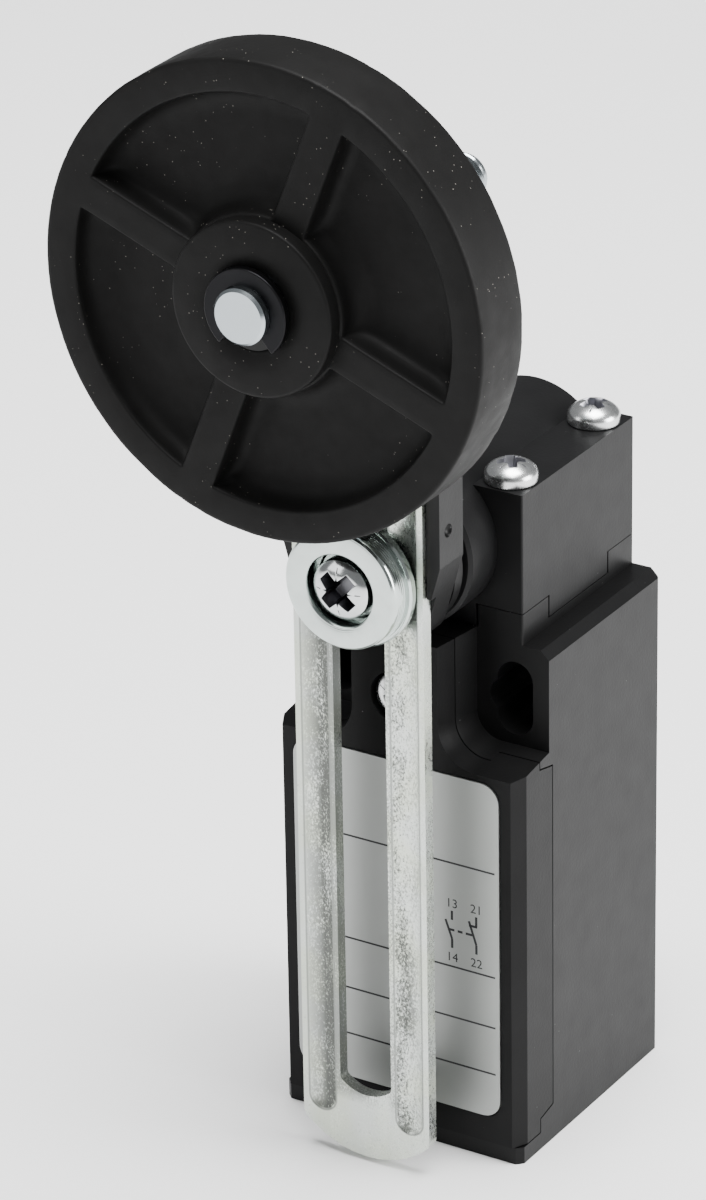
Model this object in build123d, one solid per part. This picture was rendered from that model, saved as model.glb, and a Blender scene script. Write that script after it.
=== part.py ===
from build123d import *
import math
import os

# Limit switch with a roller on an adjustable slotted lever, in millimetres.
# X points right, Y points to the back, Z points up. The origin is the centre of
# the cable entry on the bottom face, and the plunger axis is the Z axis.

# Body envelope
body_width = 30.0
body_depth = 30.0
axis_to_rear = 12.0
wall = 2.4
shoulder_rise = 12.8
shoulder_chamfer = 1.0
seam_gap = 0.15
corner_radius = 0.25

# Foot, front seam and ledge under the fixing pockets
foot_height = 2.0
foot_chamfer = 0.7
foot_lip_rise = 1.7
seam_depth = 7.0
seam_step_depth = 4.3
seam_slant = 0.6
roof_thickness = 2.2

# Fixing pockets on both sides of the neck
pocket_depth = 6.2
pocket_sill = 1.1
pocket_draft = 0.9
pocket_corner_front = 5.0
pocket_corner_floor = 3.0
neck_half_width = 5.0
neck_rise = 1.0
tongue_depth = 3.0

# Fixing holes: a round hole and an upright slot that run into each other
hole_radius = 2.15
hole_inner_pitch = 20.0
hole_outer_pitch = 21.8
hole_rise = 5.4
slot_rise = 4.2

# Cable entry, M20 x 1.5 with its thread left out
entry_core_radius = 9.19
entry_length = 12.0
entry_wall = 1.7
wiring_space = 7.0

# Collar and its notches for the head
collar_height = 3.6
collar_wall = 2.6
notch_depth = 2.5
notch_width = 12.9
notch_clearance = 0.25
head_seam = 0.1

# Head
head_height = 13.7
head_edge = 0.2
shaft_rise = 7.1
barrel_radius = 8.85
snout_setback = 0.8
chamber_radius = 6.7
chamber_half_length = 6.6

# Guide well for the head plunger
well_radius = 6.5
guide_length = 6.5
head_plunger_height = 6.0
plunger_wall = 1.7
plunger_crown = 1.6
plunger_stroke = 2.0
plunger_clearance = 0.08
crown_round = 0.8

# Rotary shaft
journal_radius = 4.0
drive_radius = 3.6
drive_flat = 3.0
tail_radius = 3.0
tail_length = 3.2
tail_end_gap = 0.4
spigot_width = 5.6
spigot_end_gap = 0.5
clamp_core_depth = 9.5
cam_radius = 6.0
cam_flat = 5.2
cam_half_length = 5.0
cam_clearance = 0.1
clip_groove_radius = 3.3
clip_radius = 5.6
clip_thickness = 0.8
clip_side_gap = 0.05
clip_end_gap = 0.02
clip_mouth_share = 0.8
cam_end_gap = 0.2
drive_end_gap = 0.4

# Bush and shaft seal in the snout
bush_radius = 5.5
seal_radius = 6.6
seal_length = 2.1
running_clearance = 0.05
static_clearance = 0.03

# Lever hub
hub_gap = 0.4
hub_ring_length = 1.6
hub_ring_radius = 8.4
hub_ring_cone = 0.6
hub_depth = 4.65
hub_half_width = 9.6
hub_top = 13.3
hub_top_chamfer = 1.6
hub_taper_start = 2.9
hub_taper_end = -6.8
hub_taper = 2.8
hub_wall_bottom = -0.8
hub_wall_depth = 0.95
hub_rear_chamfer = 0.9
channel_clearance = 0.1
index_mark_radius = 0.8
index_mark_offset = 0.3

# Slotted lever arm
arm_width = 15.8
arm_thickness = 1.5
arm_tail = 69.1
arm_end_sag = 3.4
arm_corner = 1.5
arm_end_margin = 7.6
slot_width = 6.4
slot_end_sag = 1.3
flute_width = 3.4
flute_depth = 0.5
flute_offset = 5.45
flute_end_margin = 4.3
lever_length = 36.8
slide_clearance = 0.05

# Clamp washer and screw
washer_radius = 6.7
washer_front_length = 2.35
washer_flange_radius = 7.25
washer_flange_length = 1.2
washer_recess_radius = 3.95
washer_recess_depth = 2.75
washer_recess_edge = 0.3
washer_boss_radius = 3.0
washer_boss_length = 1.1
clamp_screw_radius = 2.0
clamp_head_radius = 3.35
clamp_head_height = 2.6
clamp_screw_length = 11.5

# Roller wheel
wheel_radius = 25.4
wheel_width = 8.0
wheel_gap = 9.3
rim_thickness = 3.5
rim_edge = 0.4
web_thickness = 2.2
web_fillet = 1.3
rib_width = 3.8
rib_angle = 68.5
rib_count = 4
rib_foot = 0.4
wheel_hub_radius = 9.25
wheel_hub_proud = 1.75
wheel_hub_edge = 0.3
wheel_bush_radius = 4.2

# Wheel axle and its hardware
axle_radius = 3.0
axle_proud = 2.25
axle_chamfer = 0.5
axle_tail = 20.3
axle_collar_radius = 5.0
axle_end_play = 0.2
nut_across_flats = 10.0
nut_height = 5.0
nut_edge = 0.6
plate_washer_radius = 6.0
plate_washer_thickness = 1.2
axle_washer_clearance = 0.2
circlip_groove_radius = 2.6
circlip_radius = 4.6
circlip_thickness = 0.9
circlip_lug_reach = 5.8
circlip_lug_width = 1.7
circlip_mouth = 1.1
circlip_turn = 55.0
circlip_side_gap = 0.03

# Cover, its screw, gasket and name plate
cover_proud = 0.4
cover_wall = 1.8
cover_edge_width = 0.9
cover_edge_depth = 1.8
lip_thickness = 0.9
lip_length = 1.0
lip_clearance = 0.15
lip_root = 3.0
lip_margin = 1.0
lip_end_margin = 0.5
gasket_width = 1.0
gasket_groove_depth = 1.0
gasket_clearance = 0.03
gasket_inset = 0.3
gasket_land = 0.8
cover_screw_rise = 5.6
cover_screw_radius = 1.5
cover_screw_head_radius = 2.65
cover_screw_head_height = 1.9
cover_screw_recess_radius = 2.95
cover_screw_recess_depth = 2.0
cover_screw_length = 8.0
cover_screw_end_gap = 0.5
plate_side_margin = 2.3
plate_low_margin = 3.4
plate_high_margin = 0.7
plate_corner = 2.2
plate_thickness = 0.3
plate_recess = 0.15

# Head screws and the ring seal under the head
head_screw_pitch = 17.5
head_screw_radius = 1.5
head_screw_head_radius = 2.85
head_screw_head_height = 2.3
head_screw_margin = 0.25
head_screw_length = 18.0
head_screw_end_gap = 0.3
head_screw_crown = 0.9
screw_hole_clearance = 0.15
screw_point_share = 0.3
small_crown = 0.5
head_seal_inner = 7.4
head_seal_width = 1.5
head_seal_depth = 1.0

# Contact block
block_height = 24.4
block_top_gap = 0.6
block_setback = 12.6
block_side_gap = 0.3
block_rear_gap = 0.15
block_plate = 2.0
block_back = 3.4
chamber_inset = 0.4
lug_gap = 0.15
lug_thickness = 2.0
lug_width = 5.2
block_screw_radius = 1.25
block_screw_head_radius = 2.3
block_screw_head_height = 1.5
block_screw_length = 7.0
boss_radius = 2.5

# Contact carrier
carrier_depth = 5.2
carrier_side_gap = 0.8
carrier_top_gap = 0.5
carrier_end_gap = 0.4
carrier_web = 1.0
stem_radius = 2.4
tail_stem_radius = 1.6
tail_stem_length = 5.5
contact_gap = 0.05
window_clearance = 0.1

# Contact bridges, their springs and fixed contacts
bridge_end_gap = 0.3
bridge_width = 3.2
bridge_thickness = 0.6
bridge_corner = 0.8
rivet_radius = 1.1
rivet_height = 0.7
rivet_inset = 1.1
nc_bridge_drop = 6.8
nc_window_headroom = 1.4
nc_spring_length = 2.7
no_spring_length = 2.1
coil_wire_radius = 0.22
coil_radius = 1.15
coil_turns = 3
strip_thickness = 1.0
strip_overlap = 1.2
strip_rear = 1.9
strip_leg_height = 5.8
strip_leg_half_width = 2.4
strip_clearance = 0.05
terminal_inset = 3.2
terminal_screw_radius = 1.7
terminal_head_radius = 2.9
terminal_head_height = 2.2
terminal_screw_length = 7.0
terminal_screw_reach = 0.2
terminal_crown = 0.7
terminal_plate_size = 5.6
terminal_plate_thickness = 0.8
terminal_offset = 3.1

# Return spring under the head plunger
return_wire_radius = 0.45
return_coil_radius = 3.9
return_turns = 6
return_end_gap = 0.05

# Reach of a cutter past the surface that it cuts
overcut = 1.0
overshoot = 5.0
pocket_overshoot = 2.0

# Reach of a solid into its neighbour before the two are joined
overlap = 0.5

# Distance within which an edge or a point counts as lying at a place
pick_margin = 0.1

# Broken edges of turned, moulded and stamped pieces
turned_edge = 0.4
inner_edge = 0.5

# Places that follow from the sizes above
half_width = body_width / 2
rear = axis_to_rear
front = rear - body_depth
cover_front = front - cover_proud
seam_y = front + seam_depth
seam_step_y = front + seam_step_depth
pocket_floor = front + pocket_depth
tongue_rear = front + tongue_depth - cover_proud
cavity_half = half_width - wall
cavity_rear = rear - wall
block_front = front + block_setback
block_bottom = entry_length + wiring_space
block_top = block_bottom + block_height
cavity_top = block_top + block_top_gap
well_floor = cavity_top + guide_length
ledge_bottom = cavity_top + roof_thickness
pocket_bottom = ledge_bottom + pocket_sill
body_height = ledge_bottom + shoulder_rise
neck_top = body_height + neck_rise
hole_height = pocket_bottom + hole_rise
cover_screw_height = pocket_bottom + cover_screw_rise
plate_width = body_width - 2 * plate_side_margin
plate_bottom = foot_height + plate_low_margin
plate_top = ledge_bottom - plate_high_margin
collar_top = body_height + collar_height
shaft_height = collar_top + shaft_rise
arm_bottom = shaft_height - arm_tail
head_top = collar_top + head_height
head_width = head_screw_pitch + 2 * (head_screw_head_radius + head_screw_margin)
head_half = head_width / 2
snout_front = front + snout_setback
plunger_top = shaft_height - cam_radius - cam_clearance
plunger_bottom = plunger_top - head_plunger_height
crown_bottom = plunger_top - plunger_crown
hub_rear = snout_front - hub_gap - hub_ring_length
hub_floor = hub_rear - hub_depth
arm_rear = hub_floor - slide_clearance
arm_front = arm_rear - arm_thickness
washer_rear = arm_front - slide_clearance
washer_step = washer_rear - washer_flange_length
washer_front = washer_step - washer_front_length
washer_recess_floor = washer_front + washer_recess_depth
axle_height = shaft_height + lever_length
wheel_rear = arm_front - wheel_gap
wheel_front = wheel_rear - wheel_width
wheel_hub_front = wheel_front - wheel_hub_proud
axle_front = wheel_hub_front - axle_proud
circlip_rear = wheel_hub_front - axle_end_play
circlip_front = circlip_rear - circlip_thickness
axle_rear = arm_rear + axle_tail
arm_top = axle_height + axle_radius + channel_clearance + arm_end_margin
bush_inner = journal_radius + running_clearance
lug_screw_height = block_bottom - lug_gap - boss_radius
terminal_x = cavity_half - terminal_inset
strip_outer = terminal_x + strip_leg_half_width
strip_leg_inner = terminal_x - strip_leg_half_width
chamber_half_width = strip_leg_inner - chamber_inset
bridge_half_length = chamber_half_width - bridge_end_gap
rivet_offset = bridge_half_length - rivet_inset
strip_inner = rivet_offset - strip_overlap
carrier_width = 2 * (strip_inner - carrier_side_gap)
carrier_top = block_top - block_plate - carrier_top_gap
carrier_bottom = block_bottom + block_plate + plunger_stroke + carrier_end_gap
nc_bridge_height = block_top - nc_bridge_drop
nc_window_bottom = nc_bridge_height - nc_spring_length
nc_window_top = nc_bridge_height + nc_window_headroom
no_window_top = nc_window_bottom - carrier_web
no_bridge_height = no_window_top - no_spring_length - bridge_thickness


def block(x0, x1, y0, y1, z0, z1):
    """Box between two corners."""
    return Pos((x0 + x1) / 2, (y0 + y1) / 2, (z0 + z1) / 2) * Box(x1 - x0, y1 - y0, z1 - z0)


def post(radius, z0, z1, x=0, y=0):
    """Upright round bar."""
    return Pos(x, y, (z0 + z1) / 2) * Cylinder(radius, z1 - z0)


def bar(radius, y0, y1, x=0, z=0):
    """Round bar that runs front to back."""
    return Pos(x, (y0 + y1) / 2, z) * Rot(90, 0, 0) * Cylinder(radius, y1 - y0)


def tube(outer, inner, y0, y1, x=0, z=0):
    """Round tube that runs front to back."""
    return bar(outer, y0, y1, x, z) - bar(inner, y0 - overcut, y1 + overcut, x, z)


def from_front(sketch, y0, y1):
    """Extrude a sketch drawn in X and Z from y0 back to y1."""
    face = Plane((0, y0, 0), x_dir=(1, 0, 0), z_dir=(0, -1, 0)) * sketch
    return extrude(face, amount=-(y1 - y0))


def from_side(points, x0, x1):
    """Extrude an outline given as (y, z) points from x0 to x1."""
    face = Plane((x0, 0, 0), x_dir=(0, 1, 0), z_dir=(1, 0, 0)) * make_face(Polyline(*points, close=True))
    return extrude(face, amount=x1 - x0)


def both_sides(solid):
    """The solid and its mirror image across the middle plane."""
    return solid + mirror(solid, about=Plane.YZ)


def edges_along(solid, axis, test):
    """Straight edges of a solid that run along an axis and pass a test of their middle."""
    return [e for e in solid.edges().filter_by(axis) if test(e.center())]


def coil(radius, wire, turns, z0, z1, x=0, y=0):
    """Helical spring whose wire stays between two heights."""
    height = z1 - z0 - 2 * wire
    path = Helix(height / turns, height, radius)
    section = Plane(path @ 0, z_dir=path % 0) * Circle(wire)
    return Pos(x, y, z0 + wire) * sweep(section, path=path)


def pocket_outline(bottom, inner, corner):
    """Cutting outline of the right pocket, open towards the side and the top."""
    side = half_width + overshoot
    top = neck_top + overshoot
    outline = Polyline((side, bottom), (side, top), (inner, top), (inner, bottom), close=True)
    face = make_face(outline)
    low = face.vertices().group_by(Axis.Y)[0].sort_by(Axis.X)[0]
    return fillet(low, corner)


def pocket_cutter():
    """Right fixing pocket: it narrows a little towards its floor."""
    slope = pocket_draft / pocket_depth
    reach = pocket_depth + cover_proud + pocket_overshoot
    near_y = pocket_floor - reach
    near = pocket_outline(pocket_bottom - slope * reach, neck_half_width, pocket_corner_front)
    far = pocket_outline(pocket_bottom, neck_half_width + slope * reach, pocket_corner_floor)
    near_face = Plane((0, near_y, 0), x_dir=(1, 0, 0), z_dir=(0, -1, 0)) * near
    far_face = Plane((0, pocket_floor, 0), x_dir=(1, 0, 0), z_dir=(0, -1, 0)) * far
    return loft([near_face, far_face], ruled=True)


def fixing_hole():
    """Right fixing hole, from front to back."""
    lobe = bar(hole_radius, pocket_floor - overcut, rear + overcut, hole_inner_pitch / 2, hole_height)
    x = hole_outer_pitch / 2
    low = hole_height - slot_rise / 2
    high = hole_height + slot_rise / 2
    slot = bar(hole_radius, pocket_floor - overcut, rear + overcut, x, low)
    slot += bar(hole_radius, pocket_floor - overcut, rear + overcut, x, high)
    slot += block(x - hole_radius, x + hole_radius, pocket_floor - overcut, rear + overcut, low, high)
    return lobe + slot


def housing_shell():
    """Outer form of the housing with its foot, ledge, neck and collar."""
    lip_top = foot_height + foot_lip_rise
    outline = [
        (rear, 0),
        (front, 0),
        (front, foot_height),
        (seam_step_y, foot_height),
        (seam_step_y, lip_top),
        (seam_y, lip_top + seam_slant),
        (seam_y, ledge_bottom - seam_slant),
        (seam_step_y, ledge_bottom),
        (seam_step_y, body_height),
        (rear, body_height),
    ]
    shell = from_side(outline, -half_width, half_width)
    top = edges_along(shell, Axis.Y, lambda c: c.Z > body_height - pick_margin)
    shell = chamfer(top, shoulder_chamfer)
    corners = edges_along(shell, Axis.Z, lambda c: c.Y < front + pick_margin)
    shell = chamfer(corners, foot_chamfer)
    backs = edges_along(shell, Axis.Z, lambda c: c.Y > rear - pick_margin)
    shell = fillet(backs, corner_radius)
    neck = block(-half_width, half_width, tongue_rear, seam_step_y, ledge_bottom, neck_top)
    shell += neck & block(-neck_half_width * 2, neck_half_width * 2, front, rear, ledge_bottom, neck_top)
    shell += block(-neck_half_width * 2, neck_half_width * 2, seam_step_y, pocket_floor, ledge_bottom,
                   neck_top)
    shell -= both_sides(pocket_cutter())
    return shell + collar()


def collar():
    """Square collar that the head sits on, with a notch in each side."""
    ring = block(-head_half, head_half, pocket_floor, head_half, body_height - overcut, collar_top)
    uprights = edges_along(ring, Axis.Z, lambda c: True)
    return fillet(uprights, head_edge)


def collar_notches():
    """The four notches that take the tabs of the head."""
    half = notch_width / 2
    z0 = collar_top - notch_depth
    z1 = collar_top + overshoot
    outer = head_half + overshoot
    inner = head_half - collar_wall
    side = block(inner, outer, -half, half, z0, z1)
    notches = both_sides(side)
    notches += block(-half, half, inner, outer, z0, z1)
    return notches + block(-half, half, -outer, -inner, z0, z1)


def entry_boss():
    """Boss around the cable entry inside the wiring space."""
    return post(entry_core_radius + entry_wall, wall / 2, entry_length)


def housing_cavity():
    """Wiring space, open to the front, with the boss left standing."""
    room = block(-cavity_half, cavity_half, front - overcut, cavity_rear, wall, cavity_top)
    return room - entry_boss() - both_sides(block_boss())


def block_boss():
    """Right boss that the contact block is screwed to."""
    x = cavity_half - boss_radius
    y0 = block_front + lug_thickness
    boss = bar(boss_radius, y0, rear - wall / 2, x, lug_screw_height)
    return boss - bar(block_screw_radius + static_clearance, y0 - overcut, y0 + block_screw_length, x,
                      lug_screw_height)


def gasket_loop(width, y0, y1):
    """Rectangular loop that follows the front rim of the wiring space."""
    middle = cavity_half + wall / 2
    low = foot_height + foot_lip_rise + seam_slant + width / 2 + gasket_inset
    high = ledge_bottom - seam_slant - width / 2 - gasket_inset
    outer = block(-middle - width / 2, middle + width / 2, y0, y1, low - width / 2, high + width / 2)
    inner = block(-middle + width / 2, middle - width / 2, y0 - overcut, y1 + overcut, low + width / 2,
                  high - width / 2)
    return outer - inner


def housing():
    """Moulded housing with the wiring space, fixing holes and plunger guide."""
    low_wall = foot_height + foot_lip_rise + seam_slant + gasket_width + gasket_land
    solid = housing_shell()
    room = housing_cavity()
    room -= block(-half_width, half_width, front - 2 * overcut, seam_y + gasket_groove_depth + overcut,
                  0, low_wall)
    room -= block(-half_width, half_width, front - 2 * overcut, seam_y + gasket_groove_depth + overcut,
                  ledge_bottom - seam_slant - gasket_width - gasket_land, body_height)
    solid -= room
    solid -= post(entry_core_radius, -overcut, entry_length + overcut)
    solid -= both_sides(fixing_hole())
    solid -= post(well_radius, well_floor, collar_top + overcut)
    solid -= post(stem_radius + running_clearance, cavity_top - overcut, well_floor + overcut)
    solid -= collar_notches()
    groove = post(head_seal_inner + head_seal_width, collar_top - head_seal_depth, collar_top + overcut)
    solid -= groove - post(head_seal_inner - gasket_clearance, 0, collar_top + 2 * overcut)
    reach = tongue_rear + cover_screw_length
    solid -= bar(cover_screw_radius + static_clearance, front - overcut, reach, 0, cover_screw_height)
    for x in (-head_screw_pitch / 2, head_screw_pitch / 2):
        for y in (-head_screw_pitch / 2, head_screw_pitch / 2):
            solid -= post(head_screw_radius + static_clearance, head_top - head_screw_length,
                          collar_top + overcut, x, y)
    solid -= gasket_loop(gasket_width + 2 * gasket_clearance, seam_y, seam_y + gasket_groove_depth)
    return solid


def cover_outline():
    """Outer block of the cover with its tongue, before the pockets are cut."""
    low = foot_height + seam_gap
    lip_top = foot_height + foot_lip_rise + seam_gap
    rim = seam_y - seam_gap
    step = seam_step_y - seam_gap
    outline = [
        (cover_front, low),
        (step, low),
        (step, lip_top),
        (rim, lip_top + seam_slant),
        (rim, ledge_bottom - seam_slant - seam_gap),
        (step, ledge_bottom - seam_gap),
        (step, pocket_bottom + overcut),
        (tongue_rear - seam_gap, pocket_bottom + overcut),
        (tongue_rear - seam_gap, neck_top),
        (cover_front, neck_top),
    ]
    return from_side(outline, -half_width, half_width)


def cover_plan():
    """Plan of the cover: its long bevels turn the front into the sides."""
    side = half_width - cover_edge_width
    bevel_rear = cover_front + cover_edge_depth
    points = [
        (-side, cover_front),
        (side, cover_front),
        (half_width, bevel_rear),
        (half_width, rear),
        (-half_width, rear),
        (-half_width, bevel_rear),
    ]
    return extrude(make_face(Polyline(*points, close=True)), amount=neck_top + overshoot)


def front_cover():
    """Cover shell: it closes the wiring space and carries the name plate."""
    solid = cover_outline()
    solid &= cover_plan()
    neck = block(-neck_half_width * 2, neck_half_width * 2, tongue_rear - seam_gap, rear,
                 ledge_bottom - seam_gap, neck_top + overcut)
    solid -= neck
    solid -= both_sides(pocket_cutter())
    solid -= block(-cavity_half, cavity_half, cover_front + cover_wall, rear,
                   foot_height + foot_lip_rise + cover_wall, ledge_bottom - cover_wall)
    solid += cover_lip()
    solid -= bar(cover_screw_radius + screw_hole_clearance, cover_front - overcut, rear, 0,
                 cover_screw_height)
    solid -= bar(cover_screw_recess_radius, cover_front - overcut, cover_front + cover_screw_recess_depth,
                 0, cover_screw_height)
    solid -= from_front(plate_outline(plate_recess), cover_front - overcut, cover_front + plate_recess)
    return solid


def cover_lip():
    """Thin lip inside the rim that centres the cover in the housing."""
    outer_x = cavity_half - lip_clearance
    low = foot_height + foot_lip_rise + seam_slant + gasket_width + gasket_land + lip_clearance
    high = ledge_bottom - seam_slant - gasket_width - gasket_land - lip_clearance
    y0 = seam_y - seam_gap - cover_wall * 2
    y1 = seam_y + lip_length
    outer = block(-outer_x, outer_x, y0, y1, low, high)
    inner_x = outer_x - lip_thickness
    inner = block(-inner_x, inner_x, y0 - overcut, y1 + overcut, low + lip_thickness, high - lip_thickness)
    inner += post(entry_core_radius + entry_wall + lip_clearance, 0, entry_length)
    bridge = block(-cavity_half, cavity_half, y0, seam_y - seam_gap, low - lip_root, high + lip_root)
    bridge -= block(-inner_x, inner_x, y0 - overcut, y1, low + lip_thickness, high - lip_thickness)
    limits = block(-half_width + lip_margin, half_width - lip_margin, cover_front + lip_margin, rear,
                   foot_height + foot_lip_rise + seam_slant + lip_end_margin,
                   ledge_bottom - seam_slant - lip_end_margin)
    return (outer - inner) + (bridge & limits)


def plate_outline(grow):
    """Rounded outline of the name plate."""
    width = plate_width + 2 * grow
    height = plate_top - plate_bottom + 2 * grow
    return Pos(0, (plate_top + plate_bottom) / 2) * RectangleRounded(width, height, plate_corner)


def name_plate():
    """Thin metal name plate, left without text."""
    rear_y = cover_front + plate_recess
    return from_front(plate_outline(0), rear_y - plate_thickness, rear_y)


def cover_gasket():
    """Rubber gasket between the housing rim and the cover."""
    return gasket_loop(gasket_width, seam_y - seam_gap + gasket_clearance, seam_y + gasket_groove_depth)


def pan_screw(head_radius, head_height, radius, length, crown):
    """Screw along Z with its seat at zero and its head above."""
    head = Pos(0, 0, head_height / 2) * Cylinder(head_radius, head_height)
    head = fillet(head.edges().group_by(Axis.Z)[-1], crown)
    shank = Pos(0, 0, -length / 2) * Cylinder(radius, length)
    return head + chamfer(shank.edges().group_by(Axis.Z)[0], radius * screw_point_share)


def face_front(solid, x, y, z):
    """Turn a screw so that its head looks to the front and put its seat at a point."""
    return Pos(x, y, z) * Rot(90, 0, 0) * solid


def cover_screw():
    """Captive screw in the tongue of the cover."""
    length = cover_screw_length + tongue_depth - cover_screw_recess_depth - cover_screw_end_gap
    screw = pan_screw(cover_screw_head_radius, cover_screw_head_height, cover_screw_radius, length,
                      small_crown)
    return face_front(screw, 0, cover_front + cover_screw_recess_depth, cover_screw_height)


def head_screws():
    """Four screws that hold the head on the housing."""
    screw = pan_screw(head_screw_head_radius, head_screw_head_height, head_screw_radius,
                      head_screw_length - head_screw_end_gap, head_screw_crown)
    half = head_screw_pitch / 2
    places = [(-half, -half), (half, -half), (half, half), (-half, half)]
    return Compound([Pos(x, y, head_top) * screw for x, y in places])


def head():
    """Head with the round barrel that carries the shaft."""
    z0 = collar_top + head_seam
    solid = block(-head_half, head_half, -head_half, head_half, z0, head_top)
    solid = fillet(edges_along(solid, Axis.Z, lambda c: True), head_edge)
    barrel = bar(barrel_radius, snout_front, head_half, 0, shaft_height)
    barrel = chamfer(barrel.edges().filter_by(GeomType.CIRCLE), turned_edge)
    solid += barrel & block(-head_half, head_half, -head_width, head_width, z0, head_top + head_width)
    solid += head_tabs()
    solid -= bar(chamber_radius, -chamber_half_length, chamber_half_length, 0, shaft_height)
    solid -= post(well_radius, z0 - notch_depth - overcut, shaft_height)
    solid -= bar(bush_radius + static_clearance, snout_front - overcut, 0, 0, shaft_height)
    solid -= bar(seal_radius, snout_front - overcut, snout_front + seal_length, 0, shaft_height)
    tail_end = chamber_half_length + tail_length + tail_end_gap
    solid -= bar(tail_radius + running_clearance, 0, tail_end, 0, shaft_height)
    half = head_screw_pitch / 2
    for x in (-half, half):
        for y in (-half, half):
            solid -= post(head_screw_radius + screw_hole_clearance, z0 - overcut, head_top + overcut, x, y)
    return solid


def head_tabs():
    """Tabs under the head that fit the notches, so it can sit in four directions."""
    half = notch_width / 2 - notch_clearance
    z0 = collar_top - notch_depth + head_seam
    z1 = collar_top + overcut
    inner = head_half - collar_wall + notch_clearance
    side = block(inner, head_half, -half, half, z0, z1)
    tabs = both_sides(side)
    tabs += block(-half, half, inner, head_half, z0, z1)
    return tabs + block(-half, half, -head_half, -inner, z0, z1)


def head_seal():
    """Ring seal between the head and the collar."""
    outer = head_seal_inner + head_seal_width - gasket_clearance
    z0 = collar_top - head_seal_depth
    return post(outer, z0, collar_top + head_seam - gasket_clearance) - post(head_seal_inner, 0, head_top)


def shaft_bush():
    """Plain bush that the shaft turns in."""
    return tube(bush_radius, bush_inner, snout_front + seal_length + static_clearance,
                -chamber_half_length, 0, shaft_height)


def shaft_seal():
    """Lip seal at the mouth of the snout."""
    outer = seal_radius - static_clearance
    ring = tube(outer, bush_inner, snout_front, snout_front + seal_length, 0, shaft_height)
    edge = ring.edges().filter_by(GeomType.CIRCLE).group_by(Axis.Y)[0]
    return chamfer(edge, turned_edge)


def lever_shaft():
    """Steel shaft: square spigot, front journal, drive section and tail journal."""
    spigot_front = hub_floor + spigot_end_gap
    drive_front = -cam_half_length - cam_end_gap
    half = spigot_width / 2
    solid = block(-half, half, spigot_front, hub_rear, -half, half)
    solid = chamfer(edges_along(solid, Axis.Y, lambda c: True), inner_edge)
    solid += bar(journal_radius, hub_rear, drive_front)
    drive = bar(drive_radius, drive_front - overlap, chamber_half_length - drive_end_gap)
    drive -= block(drive_flat, drive_radius + overcut, drive_front, chamber_half_length, -overshoot,
                   overshoot)
    solid += drive
    solid += bar(tail_radius, chamber_half_length - drive_end_gap - overlap,
                 chamber_half_length + tail_length)
    groove_front = drive_front - clip_thickness - clip_side_gap
    solid -= tube(journal_radius + overcut, clip_groove_radius, groove_front, drive_front)
    solid -= bar(clamp_screw_radius + static_clearance, spigot_front - overcut,
                 spigot_front + clamp_core_depth)
    return Pos(0, 0, shaft_height) * solid


def shaft_clip():
    """Open retaining ring that keeps the shaft in the head."""
    y1 = -cam_half_length - cam_end_gap
    ring = tube(clip_radius, clip_groove_radius + static_clearance, y1 - clip_thickness, y1 - clip_end_gap)
    mouth = clip_groove_radius * clip_mouth_share
    ring -= block(-mouth, mouth, y1 - 2 * overcut, y1 + overcut, 0, clip_radius + overcut)
    return Pos(0, 0, shaft_height) * ring


def cam():
    """Cam on the shaft: its flat faces the head plunger at rest."""
    solid = bar(cam_radius, -cam_half_length, cam_half_length)
    solid = chamfer(solid.edges().filter_by(GeomType.CIRCLE), inner_edge)
    solid -= block(-cam_radius, cam_radius, -cam_half_length - overcut, cam_half_length + overcut,
                   -cam_radius - overcut, -cam_flat)
    bore = bar(drive_radius + static_clearance, -cam_half_length - overcut, cam_half_length + overcut)
    bore -= block(drive_flat + static_clearance, drive_radius + overcut, -cam_half_length - overcut,
                  cam_half_length + overcut, -drive_radius - overcut, drive_radius + overcut)
    return Pos(0, 0, shaft_height) * (solid - bore)


def head_plunger():
    """Cup-shaped plunger that the cam pushes down."""
    radius = well_radius - plunger_clearance
    solid = post(radius, plunger_bottom, plunger_top)
    solid = fillet(solid.edges().group_by(Axis.Z)[-1], crown_round)
    return solid - post(radius - plunger_wall, plunger_bottom - overcut, crown_bottom)


def return_spring():
    """Coil spring that lifts the head plunger and centres the shaft."""
    return coil(return_coil_radius, return_wire_radius, return_turns, well_floor + return_end_gap,
                crown_bottom - return_end_gap)


def hub_outline():
    """Shield-shaped outline of the lever hub around the shaft axis."""
    low = hub_half_width - hub_taper
    outline = Polyline(
        (-low, hub_taper_end),
        (low, hub_taper_end),
        (hub_half_width, hub_taper_start),
        (hub_half_width, hub_top - hub_top_chamfer),
        (hub_half_width - hub_top_chamfer, hub_top),
        (hub_top_chamfer - hub_half_width, hub_top),
        (-hub_half_width, hub_top - hub_top_chamfer),
        (-hub_half_width, hub_taper_start),
        close=True,
    )
    face = make_face(outline)
    low_corners = face.vertices().group_by(Axis.Y)[0]
    return fillet(low_corners, hub_taper)


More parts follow.
